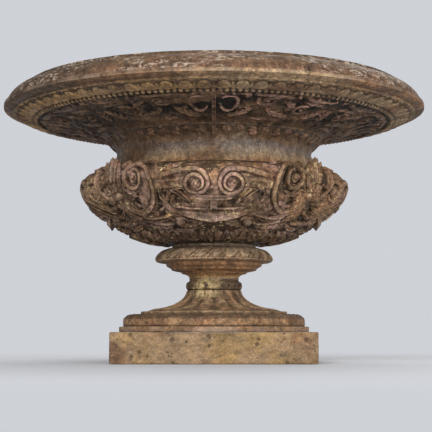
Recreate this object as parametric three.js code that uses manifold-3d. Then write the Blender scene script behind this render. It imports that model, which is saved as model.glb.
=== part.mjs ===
// A large cast-iron garden vase on a square plinth, bolted up from six castings.
// Millimetres, +Z up; the origin is the centre of the plinth's underside.
// From the ground up: a hollow plinth, a spreading round foot, a moulded collar, a bowl with scrolls in
// high relief, a neck, and a wide turned-over rim. One rod clamps the bowl, the collar and
// the foot together. Bolted flanges hold the neck on the bowl and the foot on the plinth, and the rim sits
// in a rebate on the neck.
import * as THREE from 'three';
import { mergeVertices } from 'three/addons/utils/BufferGeometryUtils.js';
import Module from 'manifold-3d';

const wasm = await Module();
wasm.setup();

// Castings
const wall = 9;
const flangeThickness = 10;
const boltClearance = 0.5;
const threadGap = 0.3;

// Plinth
const plinthSide = 390;
const plinthHeight = 60;
const plinthOpeningRadius = 140;

// Foot
const footHeight = 107;
const footFilletRadius = 191.5;
const footFilletHeight = 10.5;
const filletSlope = 2;
const ovoloRadius = 183;
const ovoloHeight = 23;
const ovoloProjection = 19;
const footStepRadius = 147.5;
const footStepHeight = 5.5;
const stemRadius = 50;
const stemRingProjection = 5;
const stemRingHeight = 17;
const stemTopHeight = 6.5;
const stemFlare = 2.6;
const stepSlope = 1;
const crownThickness = 12;

// Collar
const collarHeight = 67;
const collarRadius = 120.5;
const collarSeatRadius = 84;
const collarMouthRadius = 60;
const collarSeatHeight = 5.5;
const collarFlareRadius = 65;
const collarFlareHeight = 10;
const rollHeight = 19.5;
const rollDepth = 27.4;
const rollStart = -0.45;
// Radius and height of each edge of the mouldings under the roll
const collarSteps = [[66, 12], [86, 17], [87.5, 20], [96.5, 25.5], [97.5, 30.5], [104, 31.5]];

// Bowl
const bowlHeight = 147;
const bowlRadius = 263;
const bellyHeight = 114;
const shoulderDrop = 13;
const shoulderSlope = 3;
const bowlFloor = 12;
const bossWidth = 2;
const bossHeight = 3;
const throatRadius = 165;
const drainRadius = 7;
const drainCircle = 42;
const drainCount = 3;
const weepRadius = 4.5;
const weepCircle = 35.5;

// Neck and rim
const neckHeight = 66;
const neckBaseRadius = 205;
const neckRadius = 198.5;
const spigotRadius = 214;
const spigotWall = 7;
const spigotHeight = 9;
const spigotGap = 0.3;
const spigotLedge = 5;
const rimHeight = 103;
const rimRadius = 425;
const rimEdgeHeight = 7;
const rimOverhang = 21;
const leafBandWidth = 43.5;
const beadRadius = 5.5;
const beadDrop = 64.5;
const leafBandDrop = 54.5;
const fasciaHeight = 8.5;
const coverWidth = 44;
const coverDrop = 7;
const soffitRise = 2.5;
const mouthEdgeWidth = 10;

// Scrolled strapwork and leaves on the bowl; heights here run up the bowl's section from its seat
const voluteRadius = 28;
const voluteEyeRadius = 8;
const voluteTurns = 1.3;
const strapRadius = 5.5;
const frontVoluteSpacing = 57;
const frontVoluteHeight = 207;
const cornerVoluteSpacing = 112;
const cornerVoluteHeight = 212;
const lipHalfWidth = 50;
const lipHeight = 112;
const lipRise = 24;
const lipRadius = 9;
const cornerLeafLength = 130;
const cornerLeafWidth = 46;
const cornerLeafHeight = 118;
const crestWidth = 40;
const crestLength = 46;
const crestHeight = 236;
const leafThickness = 11;

// Fasteners
const rodRadius = 8;
const rodNutFlats = 24;
const rodNutHeight = 13;
const washerRadius = 30;
const washerThickness = 5;
const rodTail = 8;
const boltRadius = 5;
const boltFlats = 17;
const boltHeadHeight = 7;
const boltTail = 3;
const flangeBoltCount = 6;
const plinthBoltCount = 4;
const plinthBoltCircle = 160;

// Facets round each casting
const rimFacets = 44;
const bowlFacets = 32;
const footFacets = 32;
const collarFacets = 28;
const curveSteps = 4;

const leafBandRadius = rimRadius - rimOverhang;
const beadCircle = leafBandRadius - leafBandWidth;
const mouthRadius = rimRadius - coverWidth;
const rodBore = rodRadius + boltClearance;
const boltBore = boltRadius + boltClearance;
const footSeat = plinthHeight;
const collarSeat = footSeat + footHeight;
const bowlSeat = collarSeat + collarHeight;
const neckSeat = bowlSeat + bowlHeight;
const flangeBoltCircle = (throatRadius + neckRadius - wall) / 2;

const iron = {
  plinth: new THREE.MeshStandardMaterial({ color: 0x8a7350, roughness: 0.85, metalness: 0.25 }),
  foot: new THREE.MeshStandardMaterial({ color: 0x75583c, roughness: 0.82, metalness: 0.3 }),
  bowl: new THREE.MeshStandardMaterial({ color: 0x665042, roughness: 0.8, metalness: 0.35 }),
  rim: new THREE.MeshStandardMaterial({ color: 0x6b5040, roughness: 0.8, metalness: 0.3 }),
  fastener: new THREE.MeshStandardMaterial({ color: 0x4a3a30, roughness: 0.7, metalness: 0.6 }),
};

// A closed mesh as a solid that can be joined and cut.
function toSolid(geometry) {
  const bare = geometry.index ? geometry.toNonIndexed() : geometry.clone();
  bare.deleteAttribute('normal');
  bare.deleteAttribute('uv');
  const merged = mergeVertices(bare, 1e-4);
  return new wasm.Manifold(new wasm.Mesh({
    numProp: 3,
    vertProperties: merged.attributes.position.array,
    triVerts: new Uint32Array(merged.index.array),
  }));
}

function toGeometry(solid) {
  const mesh = solid.getMesh();
  const geometry = new THREE.BufferGeometry();
  geometry.setAttribute('position', new THREE.BufferAttribute(new Float32Array(mesh.vertProperties), 3));
  geometry.setIndex(new THREE.BufferAttribute(new Uint32Array(mesh.triVerts), 1));
  geometry.computeVertexNormals();
  return geometry;
}

// A ring turned about the Z axis from a closed outline of (radius, height) points.
function turned(outline, facets) {
  const closed = [...outline, outline[0]];
  return new THREE.LatheGeometry(closed, facets).rotateX(Math.PI / 2);
}

function upright(radius, height, sides) {
  return new THREE.CylinderGeometry(radius, radius, height, sides).rotateX(Math.PI / 2).translate(0, 0, height / 2);
}

function drilled(geometry, holes) {
  let solid = toSolid(geometry);
  for (const { x, y, radius, bottom, top } of holes) {
    solid = solid.subtract(toSolid(upright(radius, top - bottom, 12).translate(x, y, bottom)));
  }
  return toGeometry(solid);
}

// Places spaced evenly on a circle, the first one at an angle in degrees from +X.
function onCircle(radius, count, firstDegrees) {
  return Array.from({ length: count }, (_, i) => {
    const angle = THREE.MathUtils.degToRad(firstDegrees) + (i * 2 * Math.PI) / count;
    return { x: radius * Math.cos(angle), y: radius * Math.sin(angle) };
  });
}

// The same line moved to its left by a distance, measured square to it.
function offsetLine(points, distance) {
  return points.map((point, i) => {
    const before = points[Math.max(i - 1, 0)];
    const after = points[Math.min(i + 1, points.length - 1)];
    const along = after.clone().sub(before).normalize();
    return new THREE.Vector2(point.x - along.y * distance, point.y + along.x * distance);
  });
}

const drains = onCircle(drainCircle, drainCount, 90);
const weeps = onCircle(weepCircle, drainCount, 30);
const flangeBolts = onCircle(flangeBoltCircle, flangeBoltCount, 30);
const plinthBolts = onCircle(plinthBoltCircle, plinthBoltCount, 45);

function plinthGeometry() {
  const outside = toSolid(new THREE.BoxGeometry(plinthSide, plinthSide, plinthHeight));
  const innerSide = plinthSide - 2 * wall;
  const hollow = toSolid(new THREE.BoxGeometry(innerSide, innerSide, plinthHeight).translate(0, 0, -wall));
  const opening = toSolid(upright(plinthOpeningRadius, plinthHeight, footFacets));
  const box = outside.subtract(hollow).subtract(opening);
  const geometry = toGeometry(box).translate(0, 0, plinthHeight / 2);
  const holes = plinthBolts.map((place) => ({ ...place, radius: boltBore, bottom: 0, top: plinthHeight + 1 }));
  return drilled(geometry, holes);
}

function footGeometry() {
  const stepBottom = footFilletHeight + filletSlope + ovoloHeight;
  const trumpetBottom = stepBottom + footStepHeight;
  const ringTop = footHeight - stemTopHeight;
  const ringBottom = ringTop - stemRingHeight;
  const stemFootRadius = stemRadius + stemFlare;
  const ovoloTop = ovoloRadius - ovoloProjection;
  const crownUnder = footHeight - crownThickness;
  const trumpetHeight = ringBottom - trumpetBottom;
  const outline = new THREE.Path();
  outline.moveTo(footFilletRadius, 0);
  outline.lineTo(footFilletRadius, footFilletHeight);
  outline.lineTo(ovoloRadius, footFilletHeight + filletSlope);
  outline.absellipse(ovoloTop, stepBottom - ovoloHeight / 2, ovoloProjection, ovoloHeight / 2, 0, Math.PI / 2);
  outline.lineTo(footStepRadius, stepBottom + stepSlope);
  outline.lineTo(footStepRadius, trumpetBottom);
  outline.bezierCurveTo(
    footStepRadius * 0.68, trumpetBottom,
    stemFootRadius * 1.06, trumpetBottom + trumpetHeight * 0.33,
    stemFootRadius, ringBottom,
  );
  outline.absellipse(stemFootRadius, ringBottom + stemRingHeight / 2, stemRingProjection, stemRingHeight / 2,
    -Math.PI / 2, Math.PI / 2);
  outline.lineTo(stemRadius, ringTop + stepSlope);
  outline.lineTo(stemRadius, footHeight);
  outline.lineTo(rodBore, footHeight);
  outline.lineTo(rodBore, crownUnder);
  outline.lineTo(stemRadius - wall, crownUnder);
  outline.lineTo(stemFootRadius - wall, ringBottom - wall / 3);
  outline.bezierCurveTo(
    stemFootRadius - wall / 2, trumpetBottom + trumpetHeight * 0.22,
    footStepRadius * 0.6, trumpetBottom - wall,
    footStepRadius - wall, trumpetBottom - wall,
  );
  outline.lineTo(ovoloTop - wall / 2, stepBottom - wall);
  outline.lineTo(ovoloRadius - wall, stepBottom - ovoloHeight / 2);
  outline.lineTo(ovoloRadius - wall, flangeThickness);
  outline.lineTo(plinthOpeningRadius, flangeThickness);
  outline.lineTo(plinthOpeningRadius, 0);
  const holes = [
    ...plinthBolts.map((place) => ({ ...place, radius: boltBore, bottom: -1, top: flangeThickness + 1 })),
    ...weeps.map((place) => ({ ...place, radius: weepRadius, bottom: crownUnder - 1, top: footHeight + 1 })),
  ];
  return drilled(turned(outline.getPoints(curveSteps), footFacets), holes);
}

function collarGeometry() {
  const rollTop = collarHeight - collarSeatHeight;
  const rollCentre = collarRadius - rollDepth;
  const rollMiddle = rollTop - rollHeight;
  const stepWall = wall + stepSlope;
  const [lowestStep, nextStep] = collarSteps;
  const outline = new THREE.Path();
  outline.moveTo(stemRadius, 0);
  outline.quadraticCurveTo(stemRadius + 2, 7, collarFlareRadius, collarFlareHeight);
  collarSteps.forEach(([radius, height]) => outline.lineTo(radius, height));
  outline.absellipse(rollCentre, rollMiddle, rollDepth, rollHeight, rollStart, Math.PI / 2);
  outline.lineTo(collarSeatRadius + 2, rollTop + stepSlope);
  outline.lineTo(collarSeatRadius, collarHeight);
  outline.lineTo(collarMouthRadius, collarHeight);
  outline.lineTo(collarMouthRadius, rollTop - 2);
  outline.lineTo(rollCentre, rollTop - wall);
  outline.lineTo(collarRadius - wall, rollMiddle);
  outline.lineTo(rollCentre + wall / 3, rollMiddle - wall / 2);
  outline.lineTo(nextStep[0], nextStep[1] + stepWall);
  outline.lineTo(lowestStep[0], lowestStep[1] + stepWall);
  outline.lineTo(stemRadius - wall, crownThickness);
  outline.lineTo(stemRadius - wall, 0);
  return turned(outline.getPoints(curveSteps), collarFacets);
}

// The bowl's outer surface in section, before the relief, from its seat up to its shoulder.
const bowlSection = new THREE.SplineCurve([
  new THREE.Vector2(collarSeatRadius + 4, bellyHeight * 0.044),
  new THREE.Vector2(bowlRadius * 0.555, bellyHeight * 0.149),
  new THREE.Vector2(bowlRadius * 0.72, bellyHeight * 0.325),
  new THREE.Vector2(bowlRadius * 0.856, bellyHeight * 0.518),
  new THREE.Vector2(bowlRadius * 0.958, bellyHeight * 0.772),
  new THREE.Vector2(bowlRadius, bellyHeight),
  new THREE.Vector2(bowlRadius * 0.962, bowlHeight - shoulderDrop),
  new THREE.Vector2(bowlRadius * 0.87, bowlHeight - shoulderSlope),
]);
const bowlSectionLength = bowlSection.getLength();

// A point over the bowl: an angle from the front in degrees, a distance up the section and a height off it.
function overBowl(degrees, along, height) {
  const share = THREE.MathUtils.clamp(along / bowlSectionLength, 0, 1);
  const point = bowlSection.getPointAt(share);
  const tangent = bowlSection.getTangentAt(share);
  const radius = point.x + tangent.y * height;
  const angle = THREE.MathUtils.degToRad(degrees) - Math.PI / 2;
  return new THREE.Vector3(radius * Math.cos(angle), radius * Math.sin(angle), point.y - tangent.x * height);
}

function tube(points, radius, steps, sides) {
  const section = new THREE.Shape(onCircle(radius, sides, 0).map(({ x, y }) => new THREE.Vector2(x, y)));
  const extrudePath = new THREE.CatmullRomCurve3(points);
  return new THREE.ExtrudeGeometry(section, { steps, extrudePath, bevelEnabled: false });
}

// A piece made flat and bent over the bowl: its X runs round the bowl, its Y up the section and its Z off it.
function draped(geometry, degrees, along) {
  const reference = bowlSection.getPointAt(along / bowlSectionLength).x;
  const position = geometry.attributes.position;
  for (let i = 0; i < position.count; i += 1) {
    const sideways = THREE.MathUtils.radToDeg(position.getX(i) / reference);
    const point = overBowl(degrees + sideways, along + position.getY(i), position.getZ(i));
    position.setXYZ(i, point.x, point.y, point.z);
  }
  return geometry;
}

// A strap that starts under its volute and winds in about the eye. The hand is 1 or -1.
function flatVolute(x, y, hand) {
  const marks = 11;
  const points = Array.from({ length: marks + 1 }, (_, i) => {
    const share = i / marks;
    const turn = share * voluteTurns * 2 * Math.PI - Math.PI / 2;
    const reach = THREE.MathUtils.lerp(voluteRadius - strapRadius, voluteEyeRadius, share);
    return new THREE.Vector3(x + hand * reach * Math.cos(turn), y + reach * Math.sin(turn), strapRadius / 2);
  });
  const eye = new THREE.SphereGeometry(voluteEyeRadius, 5, 3).translate(x, y, strapRadius / 2);
  return [tube(points, strapRadius, marks, 3), eye];
}

function flatStrap(marks, radius, height, steps) {
  return tube(marks.map(([x, y]) => new THREE.Vector3(x, y, height)), radius, steps, 4);
}

function flatLeaf(width, length) {
  return new THREE.SphereGeometry(0.5, 6, 6).scale(width, length, 2 * leafThickness);
}

// The scrolled panel on each face: two volutes, the straps under them and the lip that curls out below.
function facePanel(face) {
  const centre = (frontVoluteHeight + lipHeight) / 2;
  const voluteFoot = frontVoluteHeight - voluteRadius - centre;
  const lipEnd = lipHeight + lipRise - centre;
  const lipMiddle = lipEnd - lipRise;
  const half = frontVoluteSpacing / 2;
  const pieces = [flatStrap([[0, voluteFoot + voluteRadius], [0, lipMiddle]], strapRadius, strapRadius / 2, 2)];
  for (const hand of [1, -1]) {
    pieces.push(...flatVolute(hand * half, frontVoluteHeight - centre, hand));
    const brace = [[hand * lipHalfWidth * 1.7, voluteFoot + strapRadius], [hand * lipHalfWidth / 2, lipMiddle]];
    pieces.push(flatStrap(brace, strapRadius, strapRadius / 2, 3));
  }
  const lip = [[-lipHalfWidth, lipEnd], [-lipHalfWidth / 2, lipEnd - lipRise * 0.75], [0, lipMiddle],
    [lipHalfWidth / 2, lipEnd - lipRise * 0.75], [lipHalfWidth, lipEnd]];
  pieces.push(flatStrap(lip, lipRadius, lipRadius * 0.8, 6));
  return pieces.map((piece) => draped(piece, face, centre));
}

// The long leaf at each corner, the volutes beside it and the crest that stands up at the shoulder.
function cornerSpray(corner) {
  const half = cornerVoluteSpacing / 2;
  const leafFoot = cornerLeafHeight - cornerLeafLength * 0.3 - cornerVoluteHeight;
  const pieces = [];
  for (const hand of [1, -1]) {
    const voluteFoot = strapRadius - voluteRadius;
    pieces.push(...flatVolute(hand * half, 0, -hand));
    const stem = [[hand * half, voluteFoot], [hand * half * 1.2, voluteFoot - strapRadius * 3],
      [hand * half * 0.8, (voluteFoot + leafFoot) / 2], [0, leafFoot]];
    pieces.push(flatStrap(stem, strapRadius, strapRadius / 2, 4));
  }
  return [
    ...pieces.map((piece) => draped(piece, corner, cornerVoluteHeight)),
    draped(flatLeaf(cornerLeafWidth, cornerLeafLength), corner, cornerLeafHeight),
    draped(flatLeaf(crestWidth, crestLength), corner, crestHeight),
  ];
}

function bowlGeometry() {
  const outside = bowlSection.getPoints(8);
  const inside = offsetLine(outside, wall).reverse();
  const flangeUnder = bowlHeight - flangeThickness;
  const bossRadius = washerRadius + bossWidth;
  const outline = [
    new THREE.Vector2(rodBore, 0),
    new THREE.Vector2(collarSeatRadius, 0),
    ...outside,
    new THREE.Vector2(neckBaseRadius, bowlHeight),
    new THREE.Vector2(throatRadius, bowlHeight),
    new THREE.Vector2(throatRadius, flangeUnder),
    new THREE.Vector2(neckBaseRadius - wall, flangeUnder),
    ...inside.filter(({ y }) => y > bowlFloor && y < flangeUnder),
    new THREE.Vector2(collarSeatRadius, bowlFloor),
    new THREE.Vector2(bossRadius, bowlFloor),
    new THREE.Vector2(bossRadius, bowlFloor + bossHeight),
    new THREE.Vector2(rodBore, bowlFloor + bossHeight),
  ];
  let solid = toSolid(turned(outline, bowlFacets));
  for (const face of [0, 90, 180, 270]) {
    [...facePanel(face), ...cornerSpray(face + 45)].forEach((piece) => { solid = solid.add(toSolid(piece)); });
  }
  const holes = [
    ...drains.map((place) => ({ ...place, radius: drainRadius, bottom: -1, top: bowlFloor + 1 })),
    ...flangeBolts.map((place) => ({ ...place, radius: boltBore, bottom: flangeUnder - 1, top: bowlHeight + 1 })),
  ];
  return drilled(toGeometry(solid), holes);
}

function neckGeometry() {
  const outside = new THREE.SplineCurve([
    new THREE.Vector2(neckBaseRadius, 0),
    new THREE.Vector2(neckRadius + 1, neckHeight * 0.2),
    new THREE.Vector2(neckRadius, neckHeight * 0.45),
    new THREE.Vector2(neckRadius + 1.5, neckHeight * 0.7),
    new THREE.Vector2(spigotRadius + spigotLedge, neckHeight),
  ]).getPoints(5);
  const inside = offsetLine(outside, wall).reverse();
  const outline = [
    new THREE.Vector2(throatRadius, 0),
    ...outside,
    new THREE.Vector2(spigotRadius, neckHeight),
    new THREE.Vector2(spigotRadius, neckHeight + spigotHeight),
    new THREE.Vector2(spigotRadius - spigotWall, neckHeight + spigotHeight),
    ...inside.filter(({ y }) => y > flangeThickness + 1 && y < neckHeight - wall / 2),
    new THREE.Vector2(neckRadius - wall + 1, flangeThickness),
    new THREE.Vector2(throatRadius, flangeThickness),
  ];
  const holes = flangeBolts.map((place) => ({ ...place, radius: boltBore, bottom: -1, top: flangeThickness + 1 }));
  return drilled(turned(outline, rimFacets), holes);
}

function rimGeometry() {
  const boreRadius = spigotRadius + spigotGap;
  const soffitRadius = spigotRadius + wall;
  const beadHeight = rimHeight - beadDrop;
  const bandHeight = rimHeight - leafBandDrop;
  const edgeBottom = bandHeight + fasciaHeight;
  const edgeTop = edgeBottom + rimEdgeHeight;
  const ovoloTop = rimHeight - coverDrop;
  const hollowRadius = leafBandRadius - 8;
  const soffit = new THREE.CubicBezierCurve(
    new THREE.Vector2(soffitRadius, soffitRise),
    new THREE.Vector2(soffitRadius + 32, beadHeight / 2),
    new THREE.Vector2(beadCircle - 60, beadHeight - 8),
    new THREE.Vector2(beadCircle - beadRadius - 4, beadHeight - 2),
  ).getPoints(4);
  const edge = new THREE.Path();
  edge.moveTo(beadCircle - beadRadius, beadHeight);
  edge.absarc(beadCircle, beadHeight, beadRadius, -Math.PI, 0);
  edge.lineTo(beadCircle + beadRadius + 1, beadHeight + 0.5);
  edge.quadraticCurveTo((beadCircle + leafBandRadius) / 2, beadHeight + 2, leafBandRadius, bandHeight);
  edge.lineTo(leafBandRadius + 1, bandHeight + 1.5);
  edge.quadraticCurveTo(leafBandRadius + 14, bandHeight + 3, rimRadius, edgeBottom);
  edge.lineTo(rimRadius, edgeTop);
  edge.lineTo(rimRadius - 5, edgeTop + 1.5);
  edge.bezierCurveTo(rimRadius - 8, edgeTop + 16, mouthRadius + 23, ovoloTop - 4, mouthRadius + 6, ovoloTop);
  edge.lineTo(mouthRadius + 3, ovoloTop + 1);
  edge.lineTo(mouthRadius, rimHeight);
  edge.lineTo(mouthRadius - mouthEdgeWidth, rimHeight);
  edge.lineTo(mouthRadius - mouthEdgeWidth, ovoloTop);
  edge.quadraticCurveTo(mouthRadius + 8, edgeTop + 16, hollowRadius, edgeTop);
  edge.quadraticCurveTo(hollowRadius + 1, beadHeight + 15, leafBandRadius - 22, beadHeight + wall + 3);
  const outline = [
    new THREE.Vector2(boreRadius, 0),
    new THREE.Vector2(soffitRadius - 1, 0),
    ...soffit,
    ...edge.getPoints(curveSteps - 1),
    ...offsetLine(soffit, wall).reverse(),
    new THREE.Vector2(boreRadius, spigotHeight + 1),
  ];
  return turned(outline, rimFacets);
}

function hexagon(flats) {
  return new THREE.Shape(onCircle(flats / Math.sqrt(3), 6, 30).map(({ x, y }) => new THREE.Vector2(x, y)));
}

function nutGeometry(flats, height, boreRadius) {
  const outline = hexagon(flats);
  const bore = onCircle(boreRadius, 12, 0).map(({ x, y }) => new THREE.Vector2(x, y));
  outline.holes.push(new THREE.Path(bore));
  return new THREE.ExtrudeGeometry(outline, { depth: height, bevelEnabled: false });
}

// A hexagon bolt with its head's seat at zero and its shank hanging down.
function boltGeometry(shankLength) {
  const head = new THREE.ExtrudeGeometry(hexagon(boltFlats), { depth: boltHeadHeight, bevelEnabled: false });
  const shank = upright(boltRadius, shankLength + 1, 12).translate(0, 0, -shankLength);
  return toGeometry(toSolid(head).add(toSolid(shank)));
}

const washerGeometry = turned([
  new THREE.Vector2(rodRadius + threadGap, 0),
  new THREE.Vector2(washerRadius, 0),
  new THREE.Vector2(washerRadius, washerThickness),
  new THREE.Vector2(rodRadius + threadGap, washerThickness),
], 24);

const vase = new THREE.Group();
vase.name = 'garden_vase';

function place(name, geometry, material, height, { x = 0, y = 0, turnedOver = false } = {}) {
  const mesh = new THREE.Mesh(geometry, material);
  mesh.name = name;
  mesh.position.set(x, y, height);
  if (turnedOver) {
    mesh.rotation.x = Math.PI;
  }
  vase.add(mesh);
}

place('plinth', plinthGeometry(), iron.plinth, 0);
place('foot', footGeometry(), iron.foot, footSeat);
place('collar', collarGeometry(), iron.foot, collarSeat);
place('bowl', bowlGeometry(), iron.bowl, bowlSeat);
place('neck', neckGeometry(), iron.rim, neckSeat);
place('rim', rimGeometry(), iron.rim, neckSeat + neckHeight);

// The clamping rod, from under the foot's crown to above the bowl's floor
const crownUnderside = collarSeat - crownThickness;
const floorTop = bowlSeat + bowlFloor + bossHeight;
const rodBottom = crownUnderside - washerThickness - rodNutHeight - rodTail;
const rodTop = floorTop + washerThickness + rodNutHeight + rodTail;
const rodNut = nutGeometry(rodNutFlats, rodNutHeight, rodRadius + threadGap);
place('clamp_rod', upright(rodRadius, rodTop - rodBottom, 16), iron.fastener, rodBottom);
place('lower_washer', washerGeometry, iron.fastener, crownUnderside - washerThickness);
place('lower_rod_nut', rodNut, iron.fastener, crownUnderside - washerThickness - rodNutHeight);
place('upper_washer', washerGeometry, iron.fastener, floorTop);
place('upper_rod_nut', rodNut, iron.fastener, floorTop + washerThickness);

// The bolted flanges
const gripLength = 2 * flangeThickness;
const plinthGrip = flangeThickness + wall;
const boltNut = nutGeometry(boltFlats, boltHeadHeight + 1, boltRadius + threadGap);
const flangeBolt = boltGeometry(gripLength + boltHeadHeight + 1 + boltTail);
const plinthBolt = boltGeometry(plinthGrip + boltHeadHeight + 1 + boltTail);
flangeBolts.forEach((at, i) => {
  place(`flange_bolt_${i + 1}`, flangeBolt, iron.fastener, neckSeat + flangeThickness, at);
  place(`flange_nut_${i + 1}`, boltNut, iron.fastener, neckSeat - flangeThickness - boltHeadHeight - 1, at);
});
plinthBolts.forEach((at, i) => {
  place(`plinth_bolt_${i + 1}`, plinthBolt, iron.fastener, plinthHeight - wall, { ...at, turnedOver: true });
  place(`plinth_nut_${i + 1}`, boltNut, iron.fastener, footSeat + flangeThickness, at);
});

export default vase;
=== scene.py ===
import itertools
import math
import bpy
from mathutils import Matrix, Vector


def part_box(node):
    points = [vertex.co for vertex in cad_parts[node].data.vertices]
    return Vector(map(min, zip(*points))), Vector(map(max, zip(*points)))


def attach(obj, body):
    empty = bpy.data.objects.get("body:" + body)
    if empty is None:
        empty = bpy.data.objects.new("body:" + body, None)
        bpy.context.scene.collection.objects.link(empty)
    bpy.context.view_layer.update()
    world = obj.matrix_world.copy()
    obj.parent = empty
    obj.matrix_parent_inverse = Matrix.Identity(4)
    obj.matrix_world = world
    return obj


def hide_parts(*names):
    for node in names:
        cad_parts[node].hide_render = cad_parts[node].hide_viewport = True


bl_info = {
    "name": "Garden Vase",
    "version": (1, 1, 0),
    "blender": (4, 5, 0),
    "location": "3D View > Sidebar > Garden Vase",
    "description": "Dresses the frame of a large cast-iron garden vase with ornament and a weathered finish",
    "category": "Object",
}

from collections import namedtuple
from functools import partial

import bmesh
import bpy
import numpy as np
from bpy.props import FloatProperty, FloatVectorProperty, IntProperty, PointerProperty
from mathutils import Vector

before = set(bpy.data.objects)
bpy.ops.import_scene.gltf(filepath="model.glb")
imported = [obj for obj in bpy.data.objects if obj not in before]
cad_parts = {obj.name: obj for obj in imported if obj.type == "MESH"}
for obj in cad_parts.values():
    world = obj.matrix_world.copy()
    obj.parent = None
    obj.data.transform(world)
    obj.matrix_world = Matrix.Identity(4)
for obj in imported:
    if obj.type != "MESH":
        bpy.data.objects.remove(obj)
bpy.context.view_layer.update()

BODY = "root"
MM = 0.001
LATTICE = np.random.default_rng(11).random((32, 32, 32))
CREASE = math.radians(38)

# Share, width in millimetres and shift of each scale of the rust crust
CRUST_SCALES = ((0.5, 11, 0.0), (0.3, 5, 3.3), (0.2, 2.4, 7.1))
CRUST_LEVEL = 0.8
HEAVY_CRUST = 0.0036

# Radii that two castings share
ROD_BORE = 8.5 * MM
BOWL_SEAT = 84 * MM
THROAT = 165 * MM

Spots = namedtuple("Spots", "places angle radius height outward upward")


# Lines and sections


def spline(points, count):
    """A smooth line through the points, cut into a number of points."""
    points = np.asarray(points, float)
    padded = np.vstack([points[:1], points, points[-1:]])
    share = np.linspace(0, len(points) - 1, count)
    start = np.minimum(share.astype(int), len(points) - 2)
    t = (share - start)[:, None]
    a, b, c, d = (padded[start + step] for step in range(4))
    return 0.5 * (2 * b + (c - a) * t + (2 * a - 5 * b + 4 * c - d) * t**2 + (3 * b - a - 3 * c + d) * t**3)


def bezier(start, first, second, end, count):
    """A cubic curve without its first point."""
    t = np.linspace(0, 1, count + 1)[1:, None]
    start, first, second, end = (np.asarray(point, float) for point in (start, first, second, end))
    return (1 - t) ** 3 * start + 3 * (1 - t) ** 2 * t * first + 3 * (1 - t) * t**2 * second + t**3 * end


def half_round(start, end, depth, count):
    """A round bulge between two points of an outline, standing out to the right of their line."""
    start, end = np.asarray(start, float), np.asarray(end, float)
    middle, half = (start + end) / 2, (end - start) / 2
    side = np.array([half[1], -half[0]]) / np.hypot(*half)
    turn = np.linspace(-math.pi / 2, math.pi / 2, count + 1)[1:, None]
    return middle + half * np.sin(turn) + side * depth * np.cos(turn)


def offset(points, distance):
    """The same line moved to its left."""
    along = np.gradient(np.asarray(points, float), axis=0)
    along /= np.hypot(along[:, 0], along[:, 1])[:, None]
    return points + distance * np.column_stack([-along[:, 1], along[:, 0]])


def resampled(points, step):
    """The same outline with no stretch longer than a step."""
    points = np.asarray(points, float)
    made = [points[0]]
    for start, end in zip(points[:-1], points[1:]):
        count = max(1, math.ceil(np.hypot(*(end - start)) / step))
        made.extend(start + (end - start) * share / count for share in range(1, count + 1))
    return np.array(made)


def stacked(*parts):
    """One outline from points and stretches of points."""
    return np.vstack([np.atleast_2d(part) for part in parts])


class Section:
    """A line of (radius, height) points turned about the vase's axis, which ornament is laid over."""

    def __init__(self, points):
        self.points = np.asarray(points, float)
        steps = np.hypot(*np.diff(self.points, axis=0).T)
        self.reach = np.concatenate(([0.0], np.cumsum(steps)))
        self.length = self.reach[-1]

    def radius(self, along):
        return np.interp(along, self.reach, self.points[:, 0])

    def height(self, along):
        return np.interp(along, self.reach, self.points[:, 1])

    def lay(self, angle, along, off):
        """Places at an angle in degrees from the front, a distance along the section and a height off it."""
        nudge = 3 * MM
        rise = self.height(along + nudge) - self.height(along - nudge)
        run = self.radius(along + nudge) - self.radius(along - nudge)
        size = np.maximum(np.hypot(rise, run), 1e-9)
        radius = self.radius(along) + off * rise / size
        height = self.height(along) - off * run / size
        turn = np.radians(angle) - math.pi / 2
        return np.stack([radius * np.cos(turn), radius * np.sin(turn), height], axis=-1)


# Fields of relief


def smooth_step(value, low, high):
    share = np.clip((value - low) / (high - low), 0, 1)
    return share * share * (3 - 2 * share)


def lumps(places, size, shift=0.0):
    """Smooth noise from 0 to 1 whose lumps are about as wide as the size."""
    at = places / size + shift
    cell = np.floor(at).astype(int)
    part = at - cell
    part = part * part * (3 - 2 * part)
    total = np.zeros(len(places))
    for corner in itertools.product((0, 1), repeat=3):
        weight = np.prod(np.where(corner, part, 1 - part), axis=1)
        x, y, z = ((cell + corner) % len(LATTICE)).T
        total += weight * LATTICE[x, y, z]
    return total


def folds(places, size, shift=0.0):
    """Crinkled folds from 0 to 1, like those of worn leaves."""
    drift = [lumps(places, size * 1.6, shift + 5 * axis) for axis in (1, 2, 3)]
    bent = places + size * np.column_stack(drift)
    return 1 - np.abs(2 * lumps(bent, size, shift) - 1) * 2


def leaf_ring(angle, share, count, lean=0.0):
    """Relief from 0 to 1 of a ring of water leaves, whose share runs from 0 at the root to 1 at the tip."""
    across = (angle * count / 360 + lean * share) % 1 - 0.5
    side = np.abs(across) * 2
    half = 0.92 * np.sqrt(np.clip(1 - share**3, 0, 1)) + 1e-6
    crown = np.sqrt(np.clip(1 - (side / half) ** 2, 0, 1)) * (share > 0) * (share < 1)
    rib = 0.35 * np.exp(-((side / 0.12) ** 2)) * (1 - 0.5 * share)
    veins = 0.14 * np.cos(math.tau * (4.5 * share + 1.2 * side)) * smooth_step(side, 0.1, 0.3)
    return np.clip(crown * (0.7 + rib + veins), 0, 1.2)


# Meshes


def readings(mesh, field):
    values = np.empty(len(mesh.vertices) * 3, np.float32)
    mesh.vertices.foreach_get(field, values)
    return values.reshape(-1, 3).astype(float)


def moved(mesh, off):
    """Moves each vertex along its normal."""
    places = readings(mesh, "co") + readings(mesh, "normal") * off[:, None]
    mesh.vertices.foreach_set("co", places.ravel())
    mesh.update()


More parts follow.
